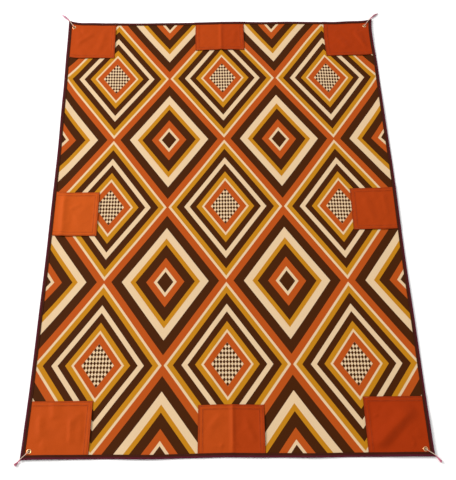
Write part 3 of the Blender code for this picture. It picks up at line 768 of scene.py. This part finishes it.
def loose_thread(corner, number):
    """One thread of the brush. Its place in the round comes from its number, as seeds sit in a sunflower."""
    off_middle = LOOSE_FILL * np.sqrt((number + 0.5) / LOOSE_THREADS)
    angle = SPREAD_TURN * number
    reach = 1 - LOOSE_UNEVEN * uneven_ends.random()
    bend = LOOSE_BEND * uneven_ends.standard_normal(2)
    share = np.linspace(HIDDEN_SHARE * BOUND_LENGTH / KNOTS[corner].length, reach, LOOSE_STATIONS)
    middle, radius = knot_way(corner, share)
    aside = off_middle * (radius - LOOSE_RADIUS) * cos(angle) + bend[0] * share**2
    middle[:, :2] += np.outer(aside, headings(corner)[1])
    middle[:, 2] += off_middle * (radius - LOOSE_RADIUS) * sin(angle) + bend[1] * share**2
    middle[:, 2] = np.maximum(middle[:, 2], LOOSE_RADIUS + FLOOR_CLEARANCE)
    around = np.arange(LOOSE_POINTS) * 2 * pi / LOOSE_POINTS + 0 * share[:, None]
    thin = LOOSE_RADIUS * (1 - LOOSE_THINNING * share**4)
    places = ring_places(share * KNOTS[corner].length, LOOSE_POINTS, 2 * pi * LOOSE_RADIUS)
    return skin(f"thread_{corner}_{number}", rings_along(middle, around, thin[:, None]), places)


def joined(name, parts):
    """Several pieces as one mesh."""
    pick(*parts)
    bpy.ops.object.join()
    parts[0].name = name
    return parts[0]


for corner in TIES:
    threads = [loose_thread(corner, number) for number in range(LOOSE_THREADS)]
    knot = joined(f"cord_end_{corner}", [bound_part(corner), *threads])
    finish_cord(knot, corner, end_finishes[corner])
    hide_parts(f"knot_{corner}")
    loop, middle, length = twisted_cord(f"cord_loop_{corner}", loop_way(corner))
    finish_cord(loop, corner, tie_cord)
    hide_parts(f"tie_{corner}")
    bound_end = round(1000 * KNOTS[corner].length, 1)
    print(corner, "loop", round(1000 * length, 1), "mm, bound end", bound_end, "mm")

# %% [markdown]
# ## Brass eyelets
# An eyelet is a tube whose rims are rolled over a washer on each face of the cloth. Its section is drawn
# once as a ring that is extruded and resized from point to point, and then closed on itself.

# %% Make the eyelets
EYELET_STEPS = 48
FUNNEL_FROM, FUNNEL_OVER = 0.0062, 0.0009
EYELET_SECTION_MM = (
    (3.60, 2.86), (3.80, 3.02), (4.50, 3.24), (5.30, 3.46), (5.90, 3.68), (6.50, 3.80), (7.20, 3.72),
    (7.90, 3.46), (8.30, 3.10), (8.40, 2.90), (8.20, 2.80), (6.20, 2.80), (4.20, 2.80), (4.20, 1.20),
    (4.20, -0.30), (6.20, -0.30), (8.20, -0.30), (8.40, -0.46), (8.20, -0.70), (7.60, -0.94),
    (6.30, -1.08), (4.90, -1.10), (4.10, -0.98), (3.70, -0.72), (3.60, -0.20), (3.60, 1.40),
)


def make_eyelet(corner):
    centre = eyelet_centre(corner)
    rows = [(radius / 1000, CORNER_LIFT + height / 1000) for radius, height in EYELET_SECTION_MM]
    radius, height = rows[0]
    pick()
    bpy.ops.mesh.primitive_circle_add(
        vertices=EYELET_STEPS, radius=radius, location=(centre.x, centre.y, height))
    made = bpy.context.object
    made.name = f"brass_eyelet_{corner}"
    bpy.ops.object.mode_set(mode="EDIT")
    for following_radius, following_height in [*rows[1:], rows[0]]:
        rise = {"value": (0.0, 0.0, following_height - height)}
        bpy.ops.mesh.extrude_region_move(TRANSFORM_OT_translate=rise)
        grow = following_radius / radius
        middle = (centre.x, centre.y, following_height)
        bpy.ops.transform.resize(value=(grow, grow, 1.0), center_override=middle)
        radius, height = following_radius, following_height
    bpy.ops.mesh.select_all(action="SELECT")
    bpy.ops.mesh.remove_doubles(threshold=0.00001)
    bpy.ops.object.mode_set(mode="OBJECT")
    bpy.ops.object.transform_apply(location=True, rotation=True, scale=True)
    finish_piece(made, brass, sharp_from=40)
    radii = np.linalg.norm(points_of(made)[:, :2] - np.array(centre.xy), axis=1)
    # This mark sets where the brass is painted dark, as shade inside the funnel.
    mark(made, "in_funnel", np.clip((FUNNEL_FROM - radii) / FUNNEL_OVER, 0.0, 1.0))
    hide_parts(f"eyelet_{corner}")
    return made


for corner in TIES:
    eyelet = make_eyelet(corner)
    print(eyelet.name, len(eyelet.data.polygons), "faces")

# %% [markdown]
# ## Sheets of cloth
# Cloth is cut flat and then laid. So each sheet starts as a flat grid, is moved to the lines of its cut,
# gets a second face by an extrusion, is punched where an eyelet goes through it, and last of all every point
# is moved to where it comes to rest.


# %% Lines to cut a sheet on, and the sheet
def spaced(*runs):
    """Lines from runs of (start, end, spacing), in order."""
    counts = [max(int(round((end - start) / step)), 1) + 1 for start, end, step in runs]
    lines = [np.linspace(start, end, count) for (start, end, _), count in zip(runs, counts)]
    return np.unique(np.round(np.concatenate(lines), 7))


CUT_STEPS = 12


def cut_spot(corner):
    """The place on the cut blanket that comes to rest at the middle of an eyelet, found in small steps."""
    centre = np.array(eyelet_centre(corner).xy)
    spot = centre
    for _ in range(CUT_STEPS):
        spot = spot + centre - lie(*spot, 0.0)[:2]
    return spot


def flat_sheet(name, p_lines, q_lines, punched=()):
    """A flat sheet, its lower face at z = 0 and its upper face at z = 1, with a hole for each eyelet."""
    across, along = len(p_lines) - 1, len(q_lines) - 1
    pick()
    bpy.ops.mesh.primitive_grid_add(x_subdivisions=across, y_subdivisions=along, size=2.0)
    sheet = bpy.context.object
    sheet.name = name
    flat = points_of(sheet)
    for axis, lines in enumerate((p_lines, q_lines)):
        number = (flat[:, axis] + 1) / 2 * (len(lines) - 1)
        flat[:, axis] = np.interp(number, np.arange(len(lines)), lines)
    move_points(sheet, flat)
    bpy.ops.object.mode_set(mode="EDIT")
    bpy.ops.mesh.select_all(action="SELECT")
    bpy.ops.mesh.extrude_region_move(TRANSFORM_OT_translate={"value": (0.0, 0.0, 1.0)})
    bpy.ops.mesh.select_all(action="SELECT")
    bpy.ops.mesh.normals_make_consistent(inside=False)
    bpy.ops.object.mode_set(mode="OBJECT")
    for corner in punched:
        spot = (*cut_spot(corner), 0.5)
        bpy.ops.mesh.primitive_cylinder_add(vertices=32, radius=EYELET_HOLE, depth=2.0, location=spot)
        punch = bpy.context.object
        bpy.context.view_layer.objects.active = sheet
        hole = sheet.modifiers.new("eyelet_hole", "BOOLEAN")
        hole.operation, hole.solver, hole.object = "DIFFERENCE", "EXACT", punch
        bpy.ops.object.modifier_apply(modifier="eyelet_hole")
        bpy.data.objects.remove(punch)
    return sheet


def laid(sheet, bottom, top, sharp_from=50):
    """Lays a flat sheet: bottom and top give the heights of its faces at places p, q."""
    flat = points_of(sheet)
    p, q = flat[:, 0], flat[:, 1]
    for old in list(sheet.data.uv_layers):
        sheet.data.uv_layers.remove(old)
    map_cut(sheet.data, flat[face_corners(sheet.data), :2])
    low, high = bottom(p, q), top(p, q)
    move_points(sheet, lie(p, q, low + (high - low) * flat[:, 2]))
    return finish_piece(sheet, None, sharp_from)


# %% [markdown]
# ## The printed cloth
# One piece of thin cloth, with its dye on the upper face. It runs out to the fold of the tape. Its lines are
# closer where a narrow fold crosses it.

# %% Cut and lay the printed cloth
WIDE_P, CLOSE_P, WIDE_Q, CLOSE_FROM, CLOSE_TO = 0.0086, 0.0040, 0.0078, -0.075, 0.030
cloth_lines = (
    spaced((-EDGE_P, CLOSE_FROM, WIDE_P), (CLOSE_FROM, CLOSE_TO, CLOSE_P), (CLOSE_TO, EDGE_P, WIDE_P)),
    spaced((-EDGE_Q, EDGE_Q, WIDE_Q)),
)
cloth = flat_sheet("printed_cloth_sheet", *cloth_lines, punched=TIES)
cloth.data.materials.append(printed_face)
cloth.data.materials.append(printed_back)
for face in cloth.data.polygons:
    face.material_index = 1 if face.normal.z < -0.5 else 0
laid(cloth, bottom=lambda p, q: 0 * p, top=lambda p, q: CLOTH + 0 * p)
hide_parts("cloth")
print("cloth:", len(cloth.data.polygons), "faces")

# %% [markdown]
# ## Patch pockets
# Each pocket is a plain patch. Its free edges are folded under into a hem and topstitched twice, so the hem
# is thicker, its edge is round, and the two rows of stitches press a groove. The sides at the blanket's rim
# run under the tape. Soft creases stay in each pocket from packing.

# %% The pockets' facts
# The number after each pocket's crown is painted light: it makes the pockets on the left lighter and those on
# the right darker, as the lamp's light falls off.
Pocket = namedtuple("Pocket", "left right near far crown dye_lot creases")
Crease = namedtuple("Crease", "start end height before after sharp")
RIGHT_P, SIDE_P = HALF_WIDTH - 0.224, HALF_WIDTH - 0.190
POCKETS = {
    "near_left": Pocket(-EDGE_P, -0.472, -EDGE_Q, -0.797, 0.0022, 0.69, (
        Crease((-0.612, -0.790), (-0.602, -0.870), 0.0024, 0.034, 0.018, 0.3),
        Crease((-0.655, -0.845), (-0.640, -0.930), 0.0022, 0.026, 0.018, 0.3),
        Crease((-0.545, -0.855), (-0.540, -0.955), 0.0026, 0.034, 0.012, 0.6),
        Crease((-0.590, -0.965), (-0.580, -0.995), 0.0014, 0.012, 0.009, 0.4),
        Crease((-0.625, -0.955), (-0.617, -0.992), 0.0012, 0.012, 0.010, 0.4),
        Crease((-0.560, -0.880), (-0.500, -0.835), 0.0014, 0.020, 0.026, 0.2),
        Crease((-0.510, -0.850), (-0.505, -0.960), 0.0012, 0.016, 0.020, 0.2),
    )),
    "near_mid": Pocket(-0.104, 0.127, -EDGE_Q, -0.816, 0.0016, 0.45, (
        Crease((0.015, -0.790), (0.015, -1.010), 0.0024, 0.040, 0.0060, 0.9),
        Crease((-0.075, -0.905), (-0.020, -0.848), 0.0016, 0.016, 0.028, 0.4),
        Crease((-0.020, -0.950), (-0.034, -0.996), 0.0020, 0.014, 0.010, 0.6),
        Crease((0.020, -0.945), (0.046, -0.990), 0.0018, 0.012, 0.012, 0.6),
        Crease((0.052, -0.850), (0.094, -0.955), 0.0016, 0.020, 0.022, 0.3),
        Crease((-0.062, -0.968), (-0.010, -0.958), 0.0012, 0.014, 0.016, 0.3),
    )),
    "near_right": Pocket(RIGHT_P, EDGE_P, -EDGE_Q, -0.789, 0.0020, 0.09, (
        Crease((0.484, -0.985), (0.656, -0.820), 0.0056, 0.078, 0.036, 0.1),
        Crease((0.506, -0.862), (0.524, -0.852), 0.0014, 0.010, 0.010, 0.2),
        Crease((0.625, -0.968), (0.652, -0.946), 0.0016, 0.016, 0.014, 0.3),
        Crease((0.560, -0.810), (0.545, -0.870), 0.0010, 0.030, 0.024, 0.1),
    )),
    "side_left": Pocket(-EDGE_P, -SIDE_P, -0.132, 0.071, 0.0018, 1.0, (
        Crease((-0.652, 0.084), (-0.646, -0.150), 0.0030, 0.040, 0.020, 0.2),
        Crease((-0.628, -0.010), (-0.575, 0.018), 0.0016, 0.014, 0.020, 0.3),
        Crease((-0.600, -0.110), (-0.560, 0.040), 0.0012, 0.030, 0.034, 0.1),
    )),
    "side_right": Pocket(SIDE_P, EDGE_P, -0.111, 0.083, 0.0014, 0.33, (
        Crease((0.560, 0.060), (0.600, -0.090), 0.0014, 0.030, 0.026, 0.2),
        Crease((0.640, 0.070), (0.655, -0.060), 0.0012, 0.024, 0.018, 0.3),
    )),
    "far_left": Pocket(-EDGE_P, -0.482, 0.787, EDGE_Q, 0.0016, 0.48, (
        Crease((-0.660, 0.868), (-0.578, 0.938), 0.0018, 0.022, 0.018, 0.3),
        Crease((-0.560, 0.820), (-0.530, 0.940), 0.0014, 0.026, 0.022, 0.2),
    )),
    "far_mid": Pocket(-0.116, 0.106, 0.829, EDGE_Q, 0.0014, 0.36, (
        Crease((0.000, 1.010), (0.000, 0.815), 0.0014, 0.034, 0.0065, 0.9),
        Crease((0.050, 0.850), (0.070, 0.960), 0.0012, 0.022, 0.020, 0.2),
    )),
    "far_right": Pocket(RIGHT_P, EDGE_P, 0.794, EDGE_Q, 0.0018, 0.15, (
        Crease((0.610, 0.945), (0.672, 0.822), 0.0024, 0.034, 0.014, 0.5),
        Crease((0.540, 0.900), (0.580, 0.830), 0.0014, 0.028, 0.022, 0.2),
    )),
}
CROWN_SLOPE = 0.6
HEM_WIDTH, HEM_EXTRA, HEM_ROUND = 0.0190, 0.0008, 0.0012
STITCH_ROWS = (0.0055, 0.0165)
GROOVE, GROOVE_REACH, GROOVE_SHADE_WIDTH = 0.00045, 0.0012, 0.0019
# How strong the painted shade is along the rows of stitches and along the folded edges.
SEAM_SHADE, EDGE_SHADE = 0.52, 0.80
GAPES = {"right": 0.0026, "near": 0.0017}
CREASE_DEPTH = 1.5
# Painted light and shade on the two middle pockets: on the lamp's side of the fold the cloth is made lighter,
# on the far side darker.
FOLD_PAINTED_SHADE = {"near_mid": (0.015, 0.16), "far_mid": (0.0, 0.08)}
HEM_LINES = (0.0, 0.0003, 0.0007, 0.0012, 0.0025, 0.0036, 0.0046, 0.0055, 0.0064, 0.0074, 0.0090, 0.0112,
             0.0134, 0.0146, 0.0156, 0.0165, 0.0174, 0.0184, 0.0198)


def free_edges(pocket):
    """The edges of a pocket that don't run under the tape."""
    at_rim = {"left": pocket.left == -EDGE_P, "right": pocket.right == EDGE_P,
              "near": pocket.near == -EDGE_Q, "far": pocket.far == EDGE_Q}
    return [edge for edge, held in at_rim.items() if not held]


def edge_distances(pocket, p, q):
    return {"left": p - pocket.left, "right": pocket.right - p,
            "near": q - pocket.near, "far": pocket.far - q}


def to_free_edge(pocket, p, q):
    distances = edge_distances(pocket, p, q)
    return np.minimum.reduce([distances[edge] for edge in free_edges(pocket)])


def pocket_lines(low, high, low_is_free, high_is_free, step=0.0034):
    """The lines of a pocket in one direction, close together along its free edges."""
    start = low + HEM_LINES[-1] if low_is_free else low
    end = high - HEM_LINES[-1] if high_is_free else high
    lines = [spaced((start, end, step))]
    if low_is_free:
        lines.append(low + np.array(HEM_LINES))
    if high_is_free:
        lines.append(high - np.array(HEM_LINES))
    return np.unique(np.round(np.concatenate(lines), 7))


def past_rim(p, q):
    """0 under the tape and by the eyelets, which hold a pocket flat, and 1 further in."""
    further = np.maximum(HALF_WIDTH - np.abs(p), HALF_LENGTH - np.abs(q))
    past_tape = ease((to_rim(p, q) - TAPE_WIDTH) / (EYELET_FIELD - TAPE_WIDTH))
    past_eyelet = ease((further - EYELET_FIELD) / (CORNER_REACH - EYELET_FIELD))
    return past_tape * past_eyelet


def crease_height(crease, p, q):
    """How high a crease stands: a ridge, sharp or soft, that falls away over its own width on each side."""
    run_p, run_q = crease.end[0] - crease.start[0], crease.end[1] - crease.start[1]
    length = hypot(run_p, run_q)
    away_p, away_q = p - crease.start[0], q - crease.start[1]
    share = (away_p * run_p + away_q * run_q) / length**2
    aside = (away_p * run_q - away_q * run_p) / length
    near = np.clip(1 - np.where(aside < 0, -aside / crease.before, aside / crease.after), 0.0, 1.0)
    profile = crease.sharp * near**2 + (1 - crease.sharp) * ease(near)
    return CREASE_DEPTH * crease.height * profile * ease(share / FOLD_FADE) * ease((1 - share) / FOLD_FADE)


CRUMPLE, FINE_CRUMPLE = 0.00055, 0.00016


def crumple(p, q):
    """Small soft unevenness of a pocket's thin cloth: crossing waves, each bent by another."""
    bent_p, bent_q = p + 0.012 * np.sin(61 * q + 1.3), q + 0.014 * np.sin(53 * p + 0.5)
    waves = np.sin(88 * bent_p + 31 * bent_q) * np.sin(67 * bent_q - 24 * bent_p + 2.0)
    finer = np.sin(151 * bent_p - 94 * bent_q + 0.7) * np.sin(127 * bent_q + 60 * bent_p)
    return CRUMPLE * (1 + waves) + FINE_CRUMPLE * (1 + finer)


GAPE_WIDTH, GAPE_FROM, GAPE_OVER = 0.013, 0.018, 0.035


def gape(pocket, p, q):
    """How far the folded edges that face away from the window have come up, between their sewn ends."""
    distances, raised = edge_distances(pocket, p, q), 0.0
    for edge, rise in GAPES.items():
        if edge in free_edges(pocket):
            ends = ("near", "far") if edge == "right" else ("left", "right")
            to_end = np.minimum(distances[ends[0]], distances[ends[1]])
            held = ease((to_end - GAPE_FROM) / GAPE_OVER)
            raised = raised + rise * np.exp(-(distances[edge] / GAPE_WIDTH) ** 2) * held
    return raised


def stand_off(pocket, p, q):
    """The height of a pocket's underside above that of the cloth: its crown, with its own soft creases."""
    half_p, half_q = (pocket.right - pocket.left) / 2, (pocket.far - pocket.near) / 2
    across = ease((1 - np.abs(p - pocket.left - half_p) / half_p) / CROWN_SLOPE)
    along = ease((1 - np.abs(q - pocket.near - half_q) / half_q) / CROWN_SLOPE)
    creased = sum(crease_height(crease, p, q) for crease in pocket.creases) + crumple(p, q)
    loose = (pocket.crown * across * along + creased + gape(pocket, p, q)) * past_rim(p, q)
    return PATCH_BOTTOM + np.maximum(loose, 0.0)


PUCKER, HEM_STEP, EDGE_SHARE = 0.35, 0.0024, 0.30


def thickness(pocket, p, q):
    """One layer of cloth, two at a hem, round at its folded edge, pressed in along each row of stitches."""
    free = to_free_edge(pocket, p, q)
    clear_of_tape = ease((to_rim(p, q) - TAPE_WIDTH - 0.001) / 0.005)
    pucker = 1 + PUCKER * np.sin(620 * (p + q) + 3 * np.sin(170 * (p - q))) * np.sin(410 * (p - q) + 1.0)
    hem = HEM_EXTRA * pucker * (1 - ease((free - HEM_WIDTH + HEM_STEP / 2) / HEM_STEP)) * clear_of_tape
    pressed = sum(np.exp(-((free - row) / GROOVE_REACH) ** 2) for row in STITCH_ROWS) * clear_of_tape
    full = PATCH + hem - GROOVE * pressed
    to_edge = np.clip(1 - free / HEM_ROUND, 0.0, 1.0)
    return full * (EDGE_SHARE + (1 - EDGE_SHARE) * np.sqrt(1 - to_edge**2))


def pocket_top(pocket, p, q):
    return stand_off(pocket, p, q) + thickness(pocket, p, q)


PATCHY, EDGE_REACH = 0.34, 0.0016


def seam_painted_shade(pocket, p, q):
    """Painted shade: how much darker the cloth is made, by the rows of stitches and on folded edges, where
    shadow falls.
    """
    free = to_free_edge(pocket, p, q)
    clear_of_tape = ease((to_rim(p, q) - TAPE_WIDTH) / 0.003)
    patchy = 1 - PATCHY + PATCHY * np.sin(95 * p + 71 * q) * np.sin(60 * p - 83 * q + 1.0)
    rows = sum(np.exp(-((free - row) / GROOVE_SHADE_WIDTH) ** 2) for row in STITCH_ROWS)
    edge = np.exp(-(free / EDGE_REACH) ** 2)
    return np.clip(SEAM_SHADE * rows * patchy + EDGE_SHADE * edge, 0.0, 1.0) * clear_of_tape


# %% Cut and lay the pockets
SHADE_BLEND_OVER = 0.004


def make_pocket(name, pocket):
    free = free_edges(pocket)
    p_lines = pocket_lines(pocket.left, pocket.right, "left" in free, "right" in free)
    q_lines = pocket_lines(pocket.near, pocket.far, "near" in free, "far" in free)
    patch = flat_sheet(f"pocket_patch_{name}", p_lines, q_lines, punched=[name] if name in TIES else [])
    patch.data.materials.append(pocket_cloth)
    p, q = points_of(patch)[:, :2].T
    laid(patch, partial(stand_off, pocket), partial(pocket_top, pocket), sharp_from=70)
    # Painted light and shade: each pocket's level of painted light, shifted lighter and darker on either side
    # of a fold on the middle pockets.
    folded_at, shade_shift = FOLD_PAINTED_SHADE.get(name, (0.0, 0.0))
    mark(patch, "dye_lot", pocket.dye_lot + shade_shift * np.clip((folded_at - p) / SHADE_BLEND_OVER, -1.0, 1.0))
    # Painted shade along the rows of stitches and the folded edges.
    mark(patch, "seam", seam_painted_shade(pocket, p, q))
    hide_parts(f"pocket_{name}")
    return patch


patches = {name: make_pocket(name, pocket) for name, pocket in POCKETS.items()}
for name, patch in patches.items():
    print("pocket", name, len(patch.data.polygons), "faces")

# %% [markdown]
# ## The binding
# A ribbed tape is folded round each edge, over the cloth and the pockets, and cut on the slant at the
# corners. Its section is a thin hook. It follows the edge in small steps and climbs over each pocket's side.

# %% Make the binding
CLIMB_FROM, CLIMB_TO = 0.001, 0.013
MITRE_CUT, TAPE_ROUND, TAPE_STITCH = 0.00012, 0.0015, 0.0125
TAPE_FLAT, TAPE_GROOVE, TAPE_RIPPLE = 0.034, 0.00018, 0.00010
MITRE_FROM, TAPE_STEP = 0.030, 0.0052


def tape_place(side, along, inwards):
    if side in ("left", "right"):
        sign = -1 if side == "left" else 1
        return sign * (HALF_WIDTH - inwards), along
    sign = -1 if side == "near" else 1
    return along, sign * (HALF_LENGTH - inwards)


def pockets_on(side):
    """Where the pockets on one edge of the blanket start and end along it."""
    held = [pocket for pocket in POCKETS.values() if side not in free_edges(pocket)]
    if side in ("left", "right"):
        return [(pocket.near, pocket.far) for pocket in held]
    return [(pocket.left, pocket.right) for pocket in held]


def tape_top(side, along):
    """The height of the tape's upper face, which climbs over each pocket."""
    away = np.minimum.reduce([np.maximum(start - along, along - end) for start, end in pockets_on(side)])
    climb = ease((CLIMB_TO - away) / (CLIMB_TO - CLIMB_FROM))
    ripple = TAPE_RIPPLE * (1 + np.sin(2 * pi * along / 0.021 + 2 * np.sin(17 * along)))
    return TAPE_TOP + PATCH_RISE * climb + ripple


def tape_section(top):
    """The hook-shaped section, from the lower rim round the fold to the upper rim, and back inside."""
    fold = [radians(angle) for angle in (270, 247, 225, 202, 180)]
    outer_low = [(TAPE_ROUND * (1 + cos(a)), TAPE_BOTTOM + TAPE_ROUND * (1 + sin(a))) for a in fold]
    outer_high = [(x, top - (z - TAPE_BOTTOM)) for x, z in reversed(outer_low)]
    inside = TAPE_ROUND - TAPE
    inner_low = [(TAPE + inside * (1 + cos(a)), -GAP + inside * (1 + sin(a))) for a in fold[::2]]
    inner_high = [(x, top - TAPE - (z + GAP)) for x, z in reversed(inner_low)]
    stitch, rim, near_rim = TAPE_STITCH, TAPE_WIDTH, TAPE_WIDTH - 0.0003
    low = [(rim, -1.02e-3), (near_rim, TAPE_BOTTOM), (stitch + 0.0010, TAPE_BOTTOM)]
    low += [(stitch, TAPE_BOTTOM + TAPE_GROOVE), (stitch - 0.0010, TAPE_BOTTOM)]
    low += [(x, TAPE_BOTTOM) for x in (0.0095, 0.0070, 0.0045)]
    high = [(x, top - (z - TAPE_BOTTOM)) for x, z in reversed(low)]
    back_high = [(rim, top - TAPE + 0.00025), *((x, top - TAPE) for x in (near_rim, 0.0095, 0.0045))]
    back_low = [*((x, -GAP) for x in (0.0045, 0.0095, near_rim)), (rim, -GAP - 0.00025)]
    inside_fold = [*reversed(inner_high), *reversed(inner_low)]
    return [*low, *outer_low, *outer_high, *high, *back_high, *inside_fold, *back_low]


def make_binding(side):
    half = HALF[side]
    straight = np.linspace(-half + MITRE_FROM, half - MITRE_FROM, int(2 * half / TAPE_STEP))
    rings, places = [], []
    slanted = [(-1, share) for share in (0.0, 0.2, 0.4, 0.6, 0.8)]
    slanted += [(0, along) for along in straight]
    slanted += [(1, share) for share in (0.8, 0.6, 0.4, 0.2, 0.0)]
    for end, value in slanted:
        station = value if end == 0 else end * (half - MITRE_FROM)
        inwards, heights = np.array(tape_section(float(tape_top(side, np.array(station))))).T
        cut = end * (half - inwards - MITRE_CUT)
        along = np.full_like(inwards, station) if end == 0 else cut + (station - cut) * value
        rings.append(lie(*tape_place(side, along, inwards), heights))
        place = np.column_stack([along, inwards])
        places.append(np.vstack([place, place[:1]]))
    tape = skin(f"binding_tape_{side}", np.array(rings), np.array(places))
    finish_piece(tape, tape_brown, sharp_from=45)
    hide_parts(f"binding_{side}")
    return tape


bindings = {side: make_binding(side) for side in EDGES}
print("binding faces:", {side: len(tape.data.polygons) for side, tape in bindings.items()})

# %% [markdown]
# ## Stitches
# One stitch is a thread end that rises from the cloth and dives back: a small squashed drop. It is modelled
# once. Rows of copies follow the hems and the tape, joined into one mesh for each piece that they hold.

# %% Model one stitch
STITCH_LENGTH, STITCH_PITCH, THREAD = 0.0033, 0.0043, 0.00062
pick()
bpy.ops.mesh.primitive_uv_sphere_add(segments=6, ring_count=4, radius=0.5, rotation=(0.0, pi / 2, 0.0))
stitch = bpy.context.object
bpy.ops.object.transform_apply(location=True, rotation=True, scale=True)
bpy.ops.object.mode_set(mode="EDIT")
bpy.ops.mesh.select_all(action="SELECT")
bpy.ops.transform.resize(value=(STITCH_LENGTH, THREAD, 0.8 * THREAD), center_override=(0.0, 0.0, 0.0))
bpy.ops.transform.translate(value=(0.0, 0.0, 0.00008))
bpy.ops.object.mode_set(mode="OBJECT")
stitch_points = points_of(stitch)
stitch_faces = [list(face.vertices) for face in stitch.data.polygons]
bpy.data.objects.remove(stitch)
print("one stitch:", len(stitch_points), "points,", len(stitch_faces), "faces")


# %% Copy it along rows
def sewn(name, rows, material):
    """A joined mesh of stitches. Each row is (centres, ahead, up, stretch), with a line for each stitch."""
    centres, ahead, up, stretch = (np.concatenate(part) for part in zip(*rows))
    side = np.cross(up, ahead)
    frames = np.stack([ahead * stretch[:, None], side, up], axis=1)
    points = centres[:, None, :] + np.einsum("vk,nkd->nvd", stitch_points, frames)
    mesh = bpy.data.meshes.new(name)
    step = len(stitch_points)
    faces = [[corner + step * number for corner in face]
             for number in range(len(centres)) for face in stitch_faces]
    mesh.from_pydata(points.reshape(-1, 3).tolist(), [], faces)
    places = np.tile(stitch_points[:, :2], (len(centres), 1))
    map_cut(mesh, places[face_corners(mesh)])
    piece = linked(name, mesh)
    return finish_piece(piece, material, sharp_from=80)


def row_of(surface, start, end, pitch=STITCH_PITCH, stretch=1.0, turned=False, underneath=False):
    """A row of stitches on a surface, from one place of the cut to another."""
    start, end = np.array(start), np.array(end)
    count = max(int(np.linalg.norm(end - start) / pitch), 1)
    shares = (np.arange(count) + 0.5) / count
    places = start + np.outer(shares, end - start)
    step = (end - start) / np.linalg.norm(end - start) * 0.0008
    centres = surface(places[:, 0], places[:, 1])
    ahead = surface(places[:, 0] + step[0], places[:, 1] + step[1]) - centres
    ahead /= np.linalg.norm(ahead, axis=1)[:, None]
    aside = np.cross([0.0, 0.0, -1.0 if underneath else 1.0], ahead)
    aside /= np.linalg.norm(aside, axis=1)[:, None]
    up = np.cross(ahead, aside)
    return centres, aside if turned else ahead, up, np.full(count, stretch)


BY_TAPE = TAPE_WIDTH - TAPE - GAP + 0.0015
TACK_IN, TACK_HALF, TACK_ASIDE, TACK_PITCH = 0.012, 0.006, 0.0040, 0.0007


def hem_rows(pocket):
    """The ends of each row of stitches along a pocket's free edges."""
    free = free_edges(pocket)
    rows = []
    for distance in STITCH_ROWS:
        inside = {edge: distance if edge in free else BY_TAPE for edge in EDGES}
        left, right = pocket.left + inside["left"], pocket.right - inside["right"]
        near, far = pocket.near + inside["near"], pocket.far - inside["far"]
        ends = {"left": ((left, near), (left, far)), "right": ((right, near), (right, far)),
                "near": ((left, near), (right, near)), "far": ((left, far), (right, far))}
        rows += [ends[edge] for edge in free]
    return rows


def bartacks(pocket):
    """Short dense rows across the hem at a pocket's free corners, where a hand pulls on it."""
    free = free_edges(pocket)
    tacks = []
    for side in ("left", "right"):
        for end in ("near", "far"):
            if side in free and end in free:
                p = pocket.left + TACK_IN if side == "left" else pocket.right - TACK_IN
                q = pocket.near + TACK_ASIDE if end == "near" else pocket.far - TACK_ASIDE
                tacks.append(((p - TACK_HALF, q), (p + TACK_HALF, q)))
    return tacks


pocket_stitches = {}
for name, pocket in POCKETS.items():
    def surface(p, q, pocket=pocket):
        return lie(p, q, pocket_top(pocket, p, q))

    rows = [row_of(surface, *ends) for ends in hem_rows(pocket)]
    rows += [row_of(surface, *ends, pitch=TACK_PITCH, stretch=0.8, turned=True) for ends in bartacks(pocket)]
    pocket_stitches[name] = sewn(f"pocket_stitches_{name}", rows, pocket_thread)

tape_stitches = {}
for side in EDGES:
    last = HALF[side] - TAPE_STITCH - 0.002
    first = -last

    def upper(p, q, side=side):
        return lie(p, q, tape_top(side, q if side in ("left", "right") else p) - TAPE_GROOVE)

    def lower(p, q):
        return lie(p, q, TAPE_BOTTOM + TAPE_GROOVE)

    ends = [tape_place(side, along, TAPE_STITCH) for along in (first, last)]
    rows = [row_of(upper, *ends), row_of(lower, *ends, underneath=True)]
    tape_stitches[side] = sewn(f"binding_stitches_{side}", rows, tape_thread)
sewn_pieces = [*pocket_stitches.values(), *tape_stitches.values()]
print(sum(len(piece.data.vertices) for piece in sewn_pieces) // len(stitch_points), "stitches")

# %% Each pocket's cut size with its hems, which nothing below uses
for name, pocket in POCKETS.items():
    free = free_edges(pocket)
    width = pocket.right - pocket.left + HEM_WIDTH * sum(edge in free for edge in ("left", "right"))
    length = pocket.far - pocket.near + HEM_WIDTH * sum(edge in free for edge in ("near", "far"))
for side, tape in bindings.items():
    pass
print("sheets:", 1 + len(patches) + len(bindings))

# %% [markdown]
# ## Floor and light
# The photo is a cut-out on white with soft light from the upper left. A pale floor, a bright even sky and
# one large lamp give the same: low contrast, with each fold a little lighter on its left.

# %% Floor, sky and lamp
pick()
bpy.ops.mesh.primitive_plane_add(size=14.0, location=(0.0, 0.0, -0.0002))
floor = bpy.context.object
floor.name = "floor"
bpy.ops.object.transform_apply(location=True, rotation=True, scale=True)
pale, tree, shader = finish("pale_floor", 0.9, 0.1)
shader.inputs["Base Color"].default_value = (0.94, 0.94, 0.94, 1.0)
floor.data.materials.append(pale)
floor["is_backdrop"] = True

sky = bpy.data.worlds.new("studio")
sky.use_nodes = True
sky.node_tree.nodes["Background"].inputs["Color"].default_value = (1.0, 1.0, 1.0, 1.0)
sky.node_tree.nodes["Background"].inputs["Strength"].default_value = 0.77
bpy.context.scene.world = sky

LAMP_SIZE, LAMP_WATTS = 3.2, 620.0
lamp_at, lamp_aim = Vector((-5.9, 2.3, 4.8)), Vector((0.1, 0.0, 0.0))
lamp_turn = (lamp_aim - lamp_at).to_track_quat("-Z", "Y").to_euler()
bpy.ops.object.light_add(type="AREA", location=lamp_at, rotation=lamp_turn)
lamp = bpy.context.object
lamp.data.size, lamp.data.energy = LAMP_SIZE, LAMP_WATTS
lamp.data.color = (1.0, 0.985, 0.96)
bpy.context.scene.view_settings.view_transform = "Standard"
print("lamp", round((lamp_aim - lamp_at).length, 2), "m away")

# %% How much the finished pieces grow beyond the solids
seen_box = [list(corner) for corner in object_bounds()]
growth = np.array(seen_box) - np.array(cad_box)
print("grows by", (1000 * growth).round(1).tolist(), "mm")
